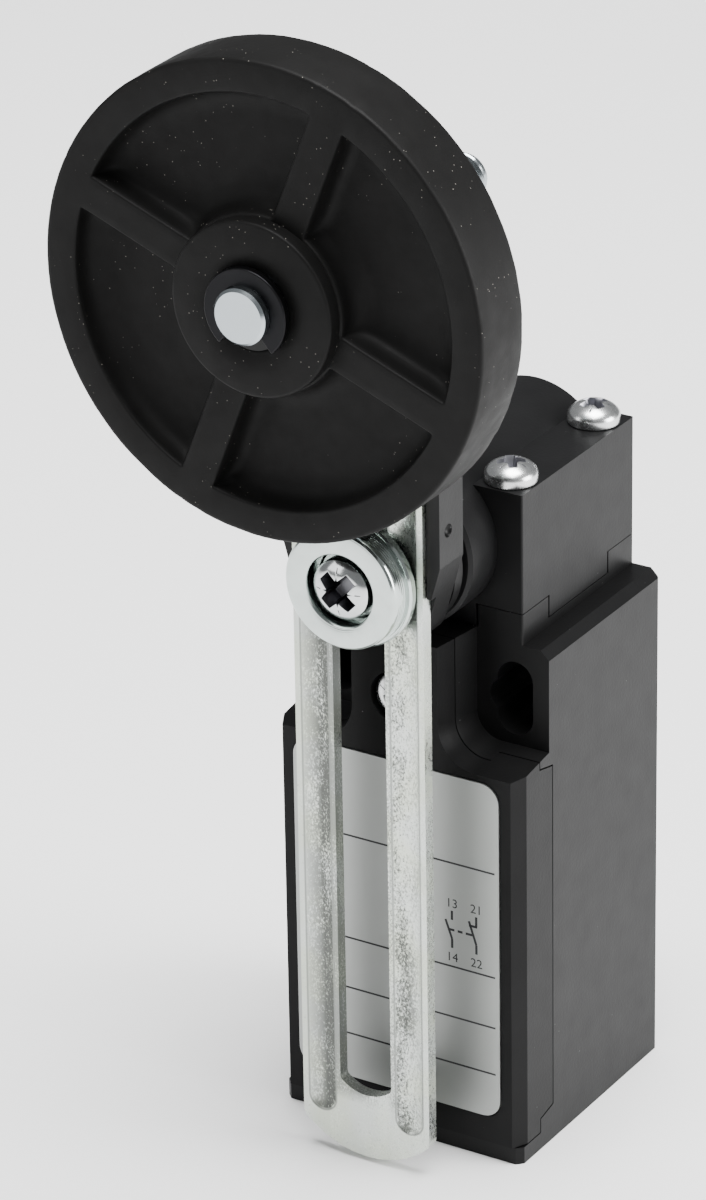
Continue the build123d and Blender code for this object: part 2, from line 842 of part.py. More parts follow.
def lever_hub():
    """Moulded hub: the arm lies in its channel and it turns with the shaft."""
    solid = from_front(hub_outline(), hub_floor - hub_wall_depth, hub_rear)
    back = solid.faces().sort_by(Axis.Y)[-1].edges()
    solid = chamfer(back, hub_rear_chamfer)
    channel = arm_width / 2 + channel_clearance
    reach = hub_half_width + overcut
    solid -= block(-channel, channel, hub_floor - overshoot, hub_floor, -hub_top - overcut, hub_top + overcut)
    solid -= block(-reach, reach, hub_floor - overshoot, hub_floor, hub_taper_end - overcut, hub_wall_bottom)
    ring = bar(hub_ring_radius, hub_rear - overlap, hub_rear + hub_ring_length)
    ring = chamfer(ring.edges().filter_by(GeomType.CIRCLE).group_by(Axis.Y)[-1], hub_ring_cone)
    solid += ring
    solid -= bar(journal_radius + static_clearance, hub_rear, hub_rear + hub_ring_length + overcut)
    half = spigot_width / 2 + static_clearance
    solid -= block(-half, half, hub_floor - overcut, hub_rear + pick_margin, -half, half)
    mark_y = hub_floor + index_mark_radius
    solid -= Pos(hub_half_width + index_mark_offset, mark_y, hub_top / 2) * Sphere(index_mark_radius)
    return Pos(0, 0, shaft_height) * solid


def arc_ended(width, z0, z1, sag):
    """Upright strip outline whose two ends are flat arcs."""
    half = width / 2
    outline = [
        Line((half, z0 + sag), (half, z1 - sag)),
        ThreePointArc((half, z1 - sag), (0, z1), (-half, z1 - sag)),
        Line((-half, z1 - sag), (-half, z0 + sag)),
        ThreePointArc((-half, z0 + sag), (0, z0), (half, z0 + sag)),
    ]
    return make_face(outline)


def flute():
    """Right shallow flute in the front of the arm, with rounded ends."""
    half = flute_width / 2
    radius = (half * half + flute_depth * flute_depth) / (2 * flute_depth)
    y = arm_front + flute_depth - radius
    low = arm_bottom + flute_end_margin + half
    high = arm_top - flute_end_margin - half
    groove = post(radius, low, high, flute_offset, y)
    return groove + Pos(flute_offset, y, low) * Sphere(radius) + Pos(flute_offset, y, high) * Sphere(radius)


def lever_arm():
    """Slotted steel arm with a flute pressed along each side."""
    outline = arc_ended(arm_width, arm_bottom, arm_top, arm_end_sag)
    outline = fillet(outline.vertices(), arm_corner)
    slot = arc_ended(slot_width, arm_bottom + arm_end_margin, arm_top - arm_end_margin, slot_end_sag)
    slot = fillet(slot.vertices(), arm_corner / 2)
    solid = from_front(outline - slot, arm_front, arm_rear)
    return solid - both_sides(flute())


def clamp_washer():
    """Turned cup washer that presses the arm into the hub."""
    solid = bar(washer_radius, washer_front, washer_step)
    solid = fillet(solid.edges().filter_by(GeomType.CIRCLE).group_by(Axis.Y)[0], turned_edge)
    solid += bar(washer_flange_radius, washer_step, washer_rear)
    solid += bar(washer_boss_radius, washer_rear - overlap, washer_rear + washer_boss_length)
    solid -= bar(washer_recess_radius, washer_front - overcut, washer_recess_floor)
    mouth = washer_recess_radius + washer_recess_edge
    edge = Cone(washer_recess_radius, mouth, washer_recess_edge)
    solid -= Pos(0, washer_front + washer_recess_edge / 2, 0) * Rot(90, 0, 0) * edge
    solid -= bar(clamp_screw_radius + screw_hole_clearance, washer_front, washer_rear + overshoot)
    return Pos(0, 0, shaft_height) * solid


def clamp_screw():
    """Screw that clamps washer, arm and hub to the shaft."""
    screw = pan_screw(clamp_head_radius, clamp_head_height, clamp_screw_radius, clamp_screw_length,
                      small_crown)
    return face_front(screw, 0, washer_recess_floor, shaft_height)


def wheel_profile():
    """Half section of the wheel in radius and width, hub towards the front."""
    middle = wheel_rear - wheel_width / 2
    web_front = middle - web_thickness / 2
    web_rear = middle + web_thickness / 2
    rim_inner = wheel_radius - rim_thickness
    bore = wheel_bush_radius + static_clearance
    points = [
        (bore, wheel_rear),
        (wheel_hub_radius, wheel_rear),
        (wheel_hub_radius, web_rear),
        (rim_inner, web_rear),
        (rim_inner, wheel_rear),
        (wheel_radius, wheel_rear),
        (wheel_radius, wheel_front),
        (rim_inner, wheel_front),
        (rim_inner, web_front),
        (wheel_hub_radius, web_front),
        (wheel_hub_radius, wheel_hub_front),
        (bore, wheel_hub_front),
    ]
    face = make_face(Polyline(*points, close=True))
    inner = [v for v in face.vertices()
             if abs(v.Y - web_front) < pick_margin or abs(v.Y - web_rear) < pick_margin]
    face = fillet(inner, web_fillet)
    edge = [v for v in face.vertices() if abs(v.X - wheel_radius) < pick_margin]
    face = fillet(edge, rim_edge)
    nose = [v for v in face.vertices() if v.Y < wheel_hub_front + pick_margin and v.X > bore + pick_margin]
    return chamfer(nose, wheel_hub_edge)


def wheel():
    """Moulded roller wheel with four ribs on each side of its web."""
    solid = revolve(wheel_profile(), Axis.Y, 360)
    rim_inner = wheel_radius - rim_thickness
    start = wheel_hub_radius - overlap
    rib = block(start, rim_inner + overlap, wheel_front, wheel_rear, -rib_width / 2, rib_width / 2)
    rib -= tube(rim_inner * 2, rim_inner + rib_foot, wheel_front - overcut, wheel_rear + overcut)
    for i in range(rib_count):
        solid += Rot(0, -rib_angle - i * 360 / rib_count, 0) * rib
    return Pos(0, 0, axle_height) * solid


def wheel_bush():
    """Bearing sleeve inside the wheel hub."""
    inner = axle_radius + running_clearance
    return tube(wheel_bush_radius, inner, wheel_hub_front, wheel_rear, 0, axle_height)


def axle():
    """Threaded steel axle with a shoulder behind the wheel."""
    solid = bar(axle_radius, axle_front, axle_rear)
    solid = chamfer(solid.edges().filter_by(GeomType.CIRCLE), axle_chamfer)
    shoulder_rear = arm_front - plate_washer_thickness - nut_height
    solid += bar(axle_collar_radius, wheel_rear + axle_end_play, shoulder_rear)
    solid -= tube(axle_radius + overcut, circlip_groove_radius, circlip_front - circlip_side_gap,
                  circlip_rear + circlip_side_gap)
    return Pos(0, 0, axle_height) * solid


def wheel_circlip():
    """Open retaining ring with two lugs, on the axle in front of the hub."""
    inner = circlip_groove_radius + static_clearance
    ring = bar(circlip_radius, circlip_front, circlip_rear)
    half = circlip_mouth / 2 + circlip_lug_width
    ring += block(-half, half, circlip_front, circlip_rear, -circlip_lug_reach, -inner)
    ring = fillet(edges_along(ring, Axis.Y, lambda c: c.Z < -circlip_lug_reach + pick_margin),
                  circlip_lug_width / 2)
    ring -= bar(inner, circlip_front - overcut, circlip_rear + overcut)
    ring -= block(-circlip_mouth / 2, circlip_mouth / 2, circlip_front - overcut, circlip_rear + overcut,
                  -circlip_lug_reach - overcut, 0)
    return Pos(0, 0, axle_height) * Rot(0, circlip_turn - 90, 0) * ring


def hex_nut(y0):
    """Hexagon nut around the axle with its front face at y0."""
    sketch = RegularPolygon(nut_across_flats / math.sqrt(3), 6) - Circle(axle_radius + static_clearance)
    nut = from_front(sketch, y0, y0 + nut_height)
    round_off = bar(nut_across_flats / math.sqrt(3), y0, y0 + nut_height)
    round_off = chamfer(round_off.edges().filter_by(GeomType.CIRCLE), nut_edge)
    return Pos(0, 0, axle_height) * (nut & round_off)


def axle_nuts():
    """Two nuts that pinch the arm, one on each side."""
    front_nut = hex_nut(arm_front - plate_washer_thickness - nut_height)
    rear_nut = hex_nut(arm_rear + plate_washer_thickness)
    return Compound([front_nut, rear_nut])


def axle_washers():
    """Two plain washers between the nuts and the arm."""
    inner = axle_radius + axle_washer_clearance
    front_ring = tube(plate_washer_radius, inner, arm_front - plate_washer_thickness, arm_front, 0,
                      axle_height)
    rear_ring = tube(plate_washer_radius, inner, arm_rear, arm_rear + plate_washer_thickness, 0, axle_height)
    return Compound([front_ring, rear_ring])


def strip_heights():
    """Undersides of the fixed contact strips: break contact first, make contact second."""
    nc = nc_bridge_height + bridge_thickness + rivet_height + contact_gap + rivet_height
    no = no_bridge_height - rivet_height - plunger_stroke - contact_gap - rivet_height - strip_thickness
    return nc, no


def contact_base():
    """Insulating base of the contact block."""
    half = cavity_half - block_side_gap
    back = cavity_rear - block_rear_gap
    solid = block(-half, half, block_front, back, block_bottom, block_top)
    solid -= block(-chamber_half_width, chamber_half_width, block_front - overcut, back - block_back,
                   block_bottom + block_plate, block_top - block_plate)
    solid -= post(stem_radius + running_clearance, block_top - block_plate - overcut, block_top + overcut)
    solid -= post(tail_stem_radius + running_clearance, block_bottom - overcut,
                  block_bottom + block_plate + overcut)
    for z in strip_heights():
        c = strip_clearance
        slot = block(chamber_half_width - overcut, strip_outer + c, block_front - overcut, strip_rear + c,
                     z - c, z + strip_thickness + c)
        solid -= both_sides(slot)
    for z in terminal_heights():
        hole = bar(terminal_screw_radius + static_clearance, block_front - overcut,
                   block_front + terminal_screw_length, terminal_x, z)
        solid -= both_sides(hole)
    return solid + both_sides(block_lug())


def block_lug():
    """Right screw lug below the contact base."""
    x = cavity_half - boss_radius
    outer = cavity_half - block_side_gap
    y1 = block_front + lug_thickness - static_clearance
    z0 = lug_screw_height - boss_radius
    lug = block(outer - lug_width, outer, block_front, y1, z0, block_bottom + overcut)
    return lug - bar(block_screw_radius + screw_hole_clearance, block_front - overcut, y1 + overcut, x,
                     lug_screw_height)


def block_screws():
    """Two screws that hold the contact block."""
    screw = pan_screw(block_screw_head_radius, block_screw_head_height, block_screw_radius,
                      block_screw_length, small_crown)
    x = cavity_half - boss_radius
    return Compound([face_front(screw, side * x, block_front, lug_screw_height) for side in (-1, 1)])


def contact_carrier():
    """Plunger of the contact block that carries both bridges."""
    w = carrier_width / 2
    d = carrier_depth / 2
    solid = block(-w, w, -d, d, carrier_bottom, carrier_top)
    solid = chamfer(edges_along(solid, Axis.Z, lambda c: True), inner_edge)
    solid += post(stem_radius, carrier_top - overlap, crown_bottom)
    solid += post(tail_stem_radius, carrier_bottom - tail_stem_length, carrier_bottom + overlap)
    gap = bridge_width / 2 + window_clearance
    solid -= block(-w - overcut, w + overcut, -gap, gap, nc_window_bottom, nc_window_top)
    return solid - block(-w - overcut, w + overcut, -gap, gap, no_bridge_height, no_window_top)


def bridge(z, rivets_up):
    """Contact bridge with a rivet near each end."""
    w = bridge_width / 2
    solid = block(-bridge_half_length, bridge_half_length, -w, w, z, z + bridge_thickness)
    solid = fillet(edges_along(solid, Axis.Z, lambda c: True), bridge_corner)
    if rivets_up:
        z0, z1 = z + bridge_thickness, z + bridge_thickness + rivet_height
    else:
        z0, z1 = z - rivet_height, z
    return solid + both_sides(post(rivet_radius, z0, z1, rivet_offset))


def break_bridge():
    """Bridge of the contact that is closed at rest."""
    return bridge(nc_bridge_height, True)


def make_bridge():
    """Bridge of the contact that is open at rest."""
    return bridge(no_bridge_height, False)


def contact_springs():
    """Small coil springs that press the bridges."""
    low = coil(coil_radius, coil_wire_radius, coil_turns, nc_window_bottom, nc_bridge_height)
    high = coil(coil_radius, coil_wire_radius, coil_turns, no_bridge_height + bridge_thickness, no_window_top)
    return Compound([low, high])


def terminal_heights():
    """Heights of the terminal screws, break contact first."""
    nc, no = strip_heights()
    return nc + strip_thickness - terminal_offset, no + terminal_offset


def fixed_contact(z, rivet_up):
    """Right fixed contact: a strip with a rivet inside and a screw leg in front."""
    strip = block(strip_inner, strip_outer, block_front - overlap, strip_rear, z, z + strip_thickness)
    if rivet_up:
        strip += post(rivet_radius, z + strip_thickness, z + strip_thickness + rivet_height, rivet_offset)
        z0, z1 = z, z + strip_leg_height
        screw_z = z + terminal_offset
    else:
        strip += post(rivet_radius, z - rivet_height, z, rivet_offset)
        z0, z1 = z + strip_thickness - strip_leg_height, z + strip_thickness
        screw_z = z + strip_thickness - terminal_offset
    y1 = block_front - strip_clearance
    strip -= block(0, strip_leg_inner, block_front - 2 * overcut, y1, z - 2 * overcut, z + 2 * overcut)
    leg = block(strip_leg_inner, strip_outer, y1 - strip_thickness, y1, z0, z1)
    hole = bar(terminal_screw_radius + screw_hole_clearance, y1 - 3 * overcut, y1 + overcut,
               terminal_x, screw_z)
    return strip + leg - hole


def pair(solid):
    """A solid and its mirror image, kept as two separate pieces."""
    return Compound([solid, mirror(solid, about=Plane.YZ)])


def break_terminals():
    """Fixed contacts of the contact that is closed at rest."""
    return pair(fixed_contact(strip_heights()[0], False))


def make_terminals():
    """Fixed contacts of the contact that is open at rest."""
    return pair(fixed_contact(strip_heights()[1], True))


def terminal_plates():
    """Square clamping plates under the terminal screws."""
    y1 = block_front - strip_clearance - strip_thickness
    s = terminal_plate_size / 2
    reach = (y1 - 3 * overcut, y1 + overcut)
    plates = []
    for x in (-terminal_x, terminal_x):
        for z in terminal_heights():
            plate = block(x - s, x + s, y1 - terminal_plate_thickness, y1, z - s, z + s)
            plates.append(plate - bar(terminal_screw_radius + screw_hole_clearance, *reach, x, z))
    return Compound(plates)


def terminal_screws():
    """Four terminal screws."""
    seat = block_front - strip_clearance - strip_thickness - terminal_plate_thickness
    screw = pan_screw(terminal_head_radius, terminal_head_height, terminal_screw_radius,
                      terminal_screw_length + terminal_plate_thickness + terminal_screw_reach,
                      terminal_crown)
    places = [(x, z) for x in (-terminal_x, terminal_x) for z in terminal_heights()]
    return Compound([face_front(screw, x, seat, z) for x, z in places])


parts = {
    "housing": housing,
    "front_cover": front_cover,
    "cover_gasket": cover_gasket,
    "cover_screw": cover_screw,
    "name_plate": name_plate,
    "head": head,
    "head_seal": head_seal,
    "head_screws": head_screws,
    "shaft_bush": shaft_bush,
    "shaft_seal": shaft_seal,
    "return_spring": return_spring,
    "contact_base": contact_base,
    "block_screws": block_screws,
    "break_terminals": break_terminals,
    "make_terminals": make_terminals,
    "terminal_plates": terminal_plates,
    "terminal_screws": terminal_screws,
    "head_plunger": head_plunger,
    "contact_carrier": contact_carrier,
    "break_bridge": break_bridge,
    "make_bridge": make_bridge,
    "contact_springs": contact_springs,
    "lever_shaft": lever_shaft,
    "shaft_clip": shaft_clip,
    "cam": cam,
    "lever_hub": lever_hub,
    "clamp_washer": clamp_washer,
    "clamp_screw": clamp_screw,
    "lever_arm": lever_arm,
    "axle": axle,
    "axle_nuts": axle_nuts,
    "axle_washers": axle_washers,
    "wheel_circlip": wheel_circlip,
    "wheel": wheel,
    "wheel_bush": wheel_bush,
}

os.makedirs("parts", exist_ok=True)
for name, make in parts.items():
    export_step(make(), f"parts/{name}.step")
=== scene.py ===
"""Roller lever limit switch: finishes and detail pieces around the packed frame."""
import math

import bmesh
import bpy
from bpy.props import FloatProperty, FloatVectorProperty, PointerProperty
from mathutils import Matrix, Vector, noise


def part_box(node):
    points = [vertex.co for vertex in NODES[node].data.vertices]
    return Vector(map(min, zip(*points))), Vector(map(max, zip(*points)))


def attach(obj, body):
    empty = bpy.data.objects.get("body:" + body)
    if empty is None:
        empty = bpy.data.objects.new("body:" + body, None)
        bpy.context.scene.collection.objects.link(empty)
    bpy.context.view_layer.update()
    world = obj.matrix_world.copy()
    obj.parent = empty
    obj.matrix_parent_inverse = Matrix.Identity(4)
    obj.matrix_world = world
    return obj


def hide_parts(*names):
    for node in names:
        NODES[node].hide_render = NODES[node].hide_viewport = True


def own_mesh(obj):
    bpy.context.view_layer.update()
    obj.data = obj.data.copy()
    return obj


bl_info = {
    "name": "Roller Lever Limit Switch",
    "version": (1, 0, 0),
    "blender": (4, 5, 0),
    "location": "View3D > Sidebar > Limit Switch",
    "description": "Dresses the limit switch with its finishes, screws, name plate, wheel and stage",
    "category": "Object",
}

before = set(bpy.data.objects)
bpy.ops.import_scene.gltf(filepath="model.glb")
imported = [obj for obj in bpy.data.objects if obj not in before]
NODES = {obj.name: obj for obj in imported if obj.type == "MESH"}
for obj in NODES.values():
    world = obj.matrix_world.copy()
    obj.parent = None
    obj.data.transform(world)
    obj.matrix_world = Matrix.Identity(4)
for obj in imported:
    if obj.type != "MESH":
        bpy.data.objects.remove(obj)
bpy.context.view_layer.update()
MM = 0.001


# ---------------------------------------------------------------- materials


class Nodes:
    """A short way to build one node material."""

    def __init__(self, name):
        self.material = bpy.data.materials.new(name)
        self.material.use_nodes = True
        self.tree = self.material.node_tree
        self.shader = self.tree.nodes["Principled BSDF"]
        self.place = self.node("ShaderNodeTexCoord", "Object", {})

    def plug(self, target, value):
        """Link a socket to an input, or give the input a plain value."""
        if hasattr(value, "links"):
            self.tree.links.new(value, target)
        else:
            target.default_value = value

    def node(self, kind, output, inputs, **options):
        """Add a node with its options, plug its inputs and return one of its outputs."""
        node = self.tree.nodes.new(kind)
        for key, value in options.items():
            setattr(node, key, value)
        for key, value in inputs.items():
            self.plug(node.inputs[key], value)
        return node.outputs[output]

    def set(self, **values):
        """Plug the shader's inputs; an underscore stands for a space in a name."""
        for key, value in values.items():
            self.plug(self.shader.inputs[key.replace("_", " ")], value)

    def axis(self, name):
        """One of the object coordinates X, Y and Z."""
        return self.node("ShaderNodeSeparateXYZ", name, {"Vector": self.place})

    def mapped(self, scale):
        """Object coordinates, scaled."""
        return self.node("ShaderNodeMapping", "Vector", {"Vector": self.place, "Scale": scale})

    def noise(self, size, detail=3.0, rough=0.5, stretch=(1, 1, 1)):
        """Noise whose grains measure about size metres."""
        place = self.mapped(tuple(1 / (size * s) for s in stretch))
        return self.node("ShaderNodeTexNoise", "Fac",
                         {"Vector": place, "Scale": 1.0, "Detail": detail, "Roughness": rough})

    def between(self, value, low, high, out_low=0.0, out_high=1.0):
        """Map a value from one range to another and hold it inside that."""
        limits = {"From Min": low, "From Max": high, "To Min": out_low, "To Max": out_high}
        return self.node("ShaderNodeMapRange", "Result", {"Value": value, **limits})

    def mix_colour(self, factor, first, second):
        """Mix two colours, each a plain one or a socket, by a factor."""
        first, second = [c if hasattr(c, "links") else (*c[:3], 1.0) for c in (first, second)]
        return self.node("ShaderNodeMix", "Result", {"Factor": factor, "A": first, "B": second},
                         data_type="RGBA")

    def maths(self, operation, *values):
        """Work out one operation on sockets or plain numbers."""
        return self.node("ShaderNodeMath", "Value", dict(enumerate(values)), operation=operation)

    def hypotenuse(self, first, second):
        """Distance that two lengths at right angles span."""
        squares = [self.maths("POWER", length, 2.0) for length in (first, second)]
        return self.maths("SQRT", self.maths("ADD", *squares))

    def bump(self, height, depth, before=None):
        """Normals that follow a height, on top of earlier ones where these are given."""
        inputs = {"Height": height, "Distance": depth}
        if before is not None:
            inputs["Normal"] = before
        return self.node("ShaderNodeBump", "Normal", inputs)

    def dusted(self, base, cell, speck, patches, dust):
        """Base colour with specks of dust, one in each cell, where patches of noise let them lie."""
        cells = self.mapped((1 / cell,) * 3)
        away = self.node("ShaderNodeTexVoronoi", "Distance", {"Vector": cells, "Scale": 1.0})
        dots = self.between(away, speck / cell, 1.4 * speck / cell, 1.0, 0.0)
        here = self.between(self.noise(patches, 3), 0.5, 0.56)
        return self.mix_colour(self.maths("MULTIPLY", dots, here), base, dust)


def shaded(colour, share):
    """A colour times a number."""
    return tuple(c * share for c in colour)


def moulded_plastic(name, colour, rough=0.5, grain=0.35 * MM, grain_depth=0.012 * MM, sheen=0.15):
    """Moulded plastic: eroded grain, faint flow clouds, uneven gloss and a little dust."""
    n = Nodes(name)
    clouds = n.noise(9 * MM, 4)
    light = tuple(min(1.0, c * 1.15 + 0.0005) for c in colour)
    base = n.mix_colour(n.between(clouds, 0.35, 0.65), colour, light)
    dust = tuple(c + 0.1 for c in colour)
    n.set(Base_Color=n.dusted(base, cell=1.6 * MM, speck=0.05 * MM, patches=9 * MM, dust=dust))
    n.set(Roughness=n.between(n.noise(3 * MM, 5), 0.3, 0.7, rough - 0.03, rough + 0.03))
    n.set(Specular_IOR_Level=sheen)
    n.set(Normal=n.bump(n.noise(grain, 2), grain_depth))
    return n.material


def wheel_rubber(name, colour, rough):
    """Moulded rubber with a fine skin and a few pale dust specks."""
    n = Nodes(name)
    clouds = n.noise(7 * MM, 5)
    light = tuple(c * 1.2 + 0.0005 for c in colour)
    base = n.mix_colour(n.between(clouds, 0.35, 0.7), colour, light)
    dust = (0.19, 0.18, 0.16)
    n.set(Base_Color=n.dusted(base, cell=0.65 * MM, speck=0.042 * MM, patches=6 * MM, dust=dust))
    n.set(Roughness=n.between(n.noise(2 * MM, 5), 0.3, 0.7, rough - 0.05, rough + 0.05))
    fine = n.bump(n.noise(0.25 * MM, 3), 0.01 * MM)
    n.set(Normal=n.bump(n.noise(1.6 * MM, 3), 0.01 * MM, before=fine))
    n.set(Specular_IOR_Level=0.11)
    return n.material


def flute_forms(n, x, z, middle, half, low, high):
    """The arm's flutes: distance from a flute's middle line, and masks of its inside and its outline, where
    painted shade and painted crease lines go.
    """
    across = n.maths("SUBTRACT", n.maths("ABSOLUTE", x), middle)
    below = n.maths("SUBTRACT", low + half, z)
    above = n.maths("SUBTRACT", z, high - half)
    past_end = n.maths("MAXIMUM", n.maths("MAXIMUM", below, above), 0.0)
    reach = n.hypotenuse(past_end, across)
    inside = n.between(reach, half * 0.88, half, 1.0, 0.0)
    rim = n.maths("ABSOLUTE", n.maths("SUBTRACT", reach, half))
    # Mask of the fine dark lines of painted crease shade along a flute's edge.
    line = n.between(rim, 0.05 * MM, 0.16 * MM, 0.75, 0.0)
    return across, inside, line


def zinc_arm(name, colour, rough, middle, half, low, high):
    """Bright zinc plate whose pressed flutes carry dark speckle, partly real mottling and partly painted
    shade, and are edged with fine dark lines of painted crease shade.
    """
    n = Nodes(name)
    x, z = n.axis("X"), n.axis("Z")
    across, inside, line = flute_forms(n, x, z, middle, half, low, high)
    # The speckled grain: fine speckle in long patches, partly real mottling and partly painted shade, with
    # more of it on the left leg than on the right one, where the painted shade is heavier.
    speckle = n.noise(0.2 * MM, 3, 0.7, (1, 1, 1.6))
    patches = n.noise(3.2 * MM, 4, 0.6, (1, 1, 3))
    side = n.between(x, -half, half, 0.08, -0.1)
    grain = n.maths("ADD", speckle, n.maths("MULTIPLY", patches, 0.8))
    mottle_and_shade = n.between(n.maths("ADD", grain, side), 0.72, 0.96)
    # Where it shows: in the flutes, most on the slot's side as painted shade on the flute's wall, and on the
    # strip beside the slot.
    slot_side_shade = n.between(across, half * 0.9, -half * 0.2, 0.4, 1.0)
    strip = n.between(across, -half, -half * 1.05, 0.0, 0.7)
    beside_slot = n.maths("MULTIPLY", strip, n.between(z, low + half, low + 2 * half))
    share = n.maths("MAXIMUM", n.maths("MULTIPLY", inside, slot_side_shade), beside_slot)
    mottle_and_shade_mix = n.maths("MULTIPLY", mottle_and_shade, n.maths("MAXIMUM", share, 0.1))
    spots = n.between(n.noise(0.35 * MM, 2), 0.66, 0.7, 0.0, 0.5)
    warm = (colour[0] * 0.98, colour[1] * 0.99, colour[2] * 0.9)
    tinted = n.mix_colour(n.between(n.noise(6 * MM, 3), 0.42, 0.6), colour, warm)
    spotted = n.mix_colour(spots, tinted, shaded(colour, 0.6))
    # Painted shade: the dark colour that the speckle mask lays over the plate.
    dull = n.mix_colour(mottle_and_shade_mix, spotted, (0.1, 0.105, 0.097))
    # Painted crease shade: fine dark lines along the flute edges.
    n.set(Metallic=1.0, Base_Color=n.mix_colour(line, dull, shaded(colour, 0.3)),
          Roughness=n.between(mottle_and_shade, 0, 1, rough, rough + 0.18), Normal=n.bump(speckle, 0.01 * MM))
    return n.material


def plain_metal(name, colour, rough, grain=0.6 * MM, unevenness=0.02):
    """Metal with a soft cloudy gloss."""
    n = Nodes(name)
    n.set(Metallic=1.0)
    clouds = n.noise(grain * 3, 4)
    n.set(Base_Color=n.mix_colour(n.between(clouds, 0.35, 0.65), colour, shaded(colour, 1 - 4 * unevenness)))
    n.set(Roughness=n.between(n.noise(grain, 3), 0.3, 0.7, rough - unevenness, rough + unevenness))
    return n.material


def turned_metal(name, colour, rough, pitch):
    """Turned steel: fine rings around the lever's axis, which runs front to back."""
    n = Nodes(name)
    n.set(Metallic=1.0)
    radius = n.hypotenuse(n.axis("X"), n.maths("SUBTRACT", n.axis("Z"), middle_height("clamp_washer")))
    rings = n.maths("SINE", n.maths("MULTIPLY", radius, 2 * math.pi / pitch))
    clouds = n.noise(1.5 * MM, 5)
    n.set(Base_Color=n.mix_colour(n.between(clouds, 0.4, 0.7), colour, shaded(colour, 0.92)))
    n.set(Roughness=n.between(clouds, 0.35, 0.65, rough - 0.02, rough + 0.03))
    n.set(Normal=n.bump(rings, 0.003 * MM))
    return n.material


# ---------------------------------------------------------------- helpers


def middle_height(node):
    """Height of the middle of a CAD node."""
    low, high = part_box(node)
    return (low[2] + high[2]) / 2


def finish_node(node, material, edge=0.0):
    """Give a CAD node its finish and, where edge is set, softly rounded edges."""
    part = NODES[node]
    for slot in part.material_slots:
        slot.material = material
    if edge:
        soften(part, edge)


def bevel_edges(part, edge, angle):
    """Round the edges that turn by more than an angle in degrees."""
    bevel = part.modifiers.new("edges", "BEVEL")
    bevel.width = edge
    bevel.segments = 2
    bevel.limit_method = "ANGLE"
    bevel.angle_limit = math.radians(angle)


def soften(part, edge):
    """Round a part's sharp edges and shade its flat faces evenly."""
    bevel_edges(part, edge, 35)
    normals = part.modifiers.new("normals", "WEIGHTED_NORMAL")
    normals.keep_sharp = True


def new_piece(name, mesh, material, body):
    """Put a finished mesh in the scene and let it ride on its body."""
    piece = bpy.data.objects.new(name, mesh)
    bpy.context.scene.collection.objects.link(piece)
    if material:
        mesh.materials.append(material)
    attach(piece, body)
    return piece


def mesh_from(name, build, smooth_angle=30):
    """Make a mesh with a bmesh builder and shade it smooth below an angle in degrees."""
    mesh = bpy.data.meshes.new(name)
    shape = bmesh.new()
    build(shape)
    bmesh.ops.recalc_face_normals(shape, faces=shape.faces)
    for face in shape.faces:
        face.smooth = True
    limit = math.radians(smooth_angle)
    for edge in shape.edges:
        if len(edge.link_faces) == 2 and edge.calc_face_angle(0) > limit:
            edge.smooth = False
    shape.to_mesh(mesh)
    shape.free()
    return mesh


# ---------------------------------------------------------------- shapes
# Turned shapes are made around local Z, which becomes the front (-Y) of the switch.


def facing_front(x, y, z):
    """Place for a shape whose local Z must look to the front."""
    return Matrix.Translation((x, y, z)) @ Matrix.Rotation(math.pi / 2, 4, "X")


def lathe(shape, outline, steps, closed=False):
    """Turn a list of (radius, z) points around Z; radius zero makes a pole."""
    rings = []
    for radius, z in outline:
        if radius == 0:
            rings.append([shape.verts.new((0, 0, z))])
            continue
        angles = [2 * math.pi * i / steps for i in range(steps)]
        rings.append([shape.verts.new((radius * math.cos(a), radius * math.sin(a), z)) for a in angles])
    pairs = list(zip(rings, rings[1:]))
    if closed:
        pairs.append((rings[-1], rings[0]))
    for first, second in pairs:
        for i in range(steps):
            j = i + 1
            around = (first[i % len(first)], first[j % len(first)], second[j % len(second)],
                      second[i % len(second)])
            shape.faces.new(list(dict.fromkeys(around)))


def join_rows(shape, rows):
    """Join closed rows of points, each to the next, with four-sided faces."""
    for first, second in zip(rows, rows[1:]):
        for i in range(len(first)):
            j = (i + 1) % len(first)
            shape.faces.new((first[i], first[j], second[j], second[i]))


def bridge_rows(shape, rows):
    """Join closed rows of points into a tube and cap its two ends."""
    join_rows(shape, rows)
    shape.faces.new(rows[0])
    shape.faces.new(list(reversed(rows[-1])))


def thread_ridge(shape, root, crest, pitch, start, end, steps=40):
    """Helical ridge between two heights, which fades in and out over half a turn at each end."""
    # Half widths of the ridge at its foot and at its crest, as shares of the pitch.
    half_foot, half_crest = 0.46, 0.07
    count = int(((end - start) / pitch - 1) * steps)
    rows = []
    for i in range(count + 1):
        angle = 2 * math.pi * i / steps
        middle = start + pitch * (0.5 + i / steps)
        fade = min(1.0, 2 * (i + 1) / steps, 2 * (count + 1 - i) / steps)
        tip = root + (crest - root) * fade
        profile = ((root, -half_foot), (tip, -half_crest), (tip, half_crest), (root, half_foot))
        rows.append([shape.verts.new((r * math.cos(angle), r * math.sin(angle), middle + pitch * part))
                     for r, part in profile])
    bridge_rows(shape, rows)


def prism(shape, outline, low, high, taper=1.0):
    """Solid between two heights over an outline; its lower end shrinks by a taper."""
    bottom = [shape.verts.new((x * taper, y * taper, low)) for x, y in outline]
    top = [shape.verts.new((x, y, high)) for x, y in outline]
    bridge_rows(shape, [bottom, top])


def turned(points, turn):
    """Turn a list of plane points around the middle."""
    c, s = math.cos(turn), math.sin(turn)
    return [(c * x - s * y, s * x + c * y) for x, y in points]


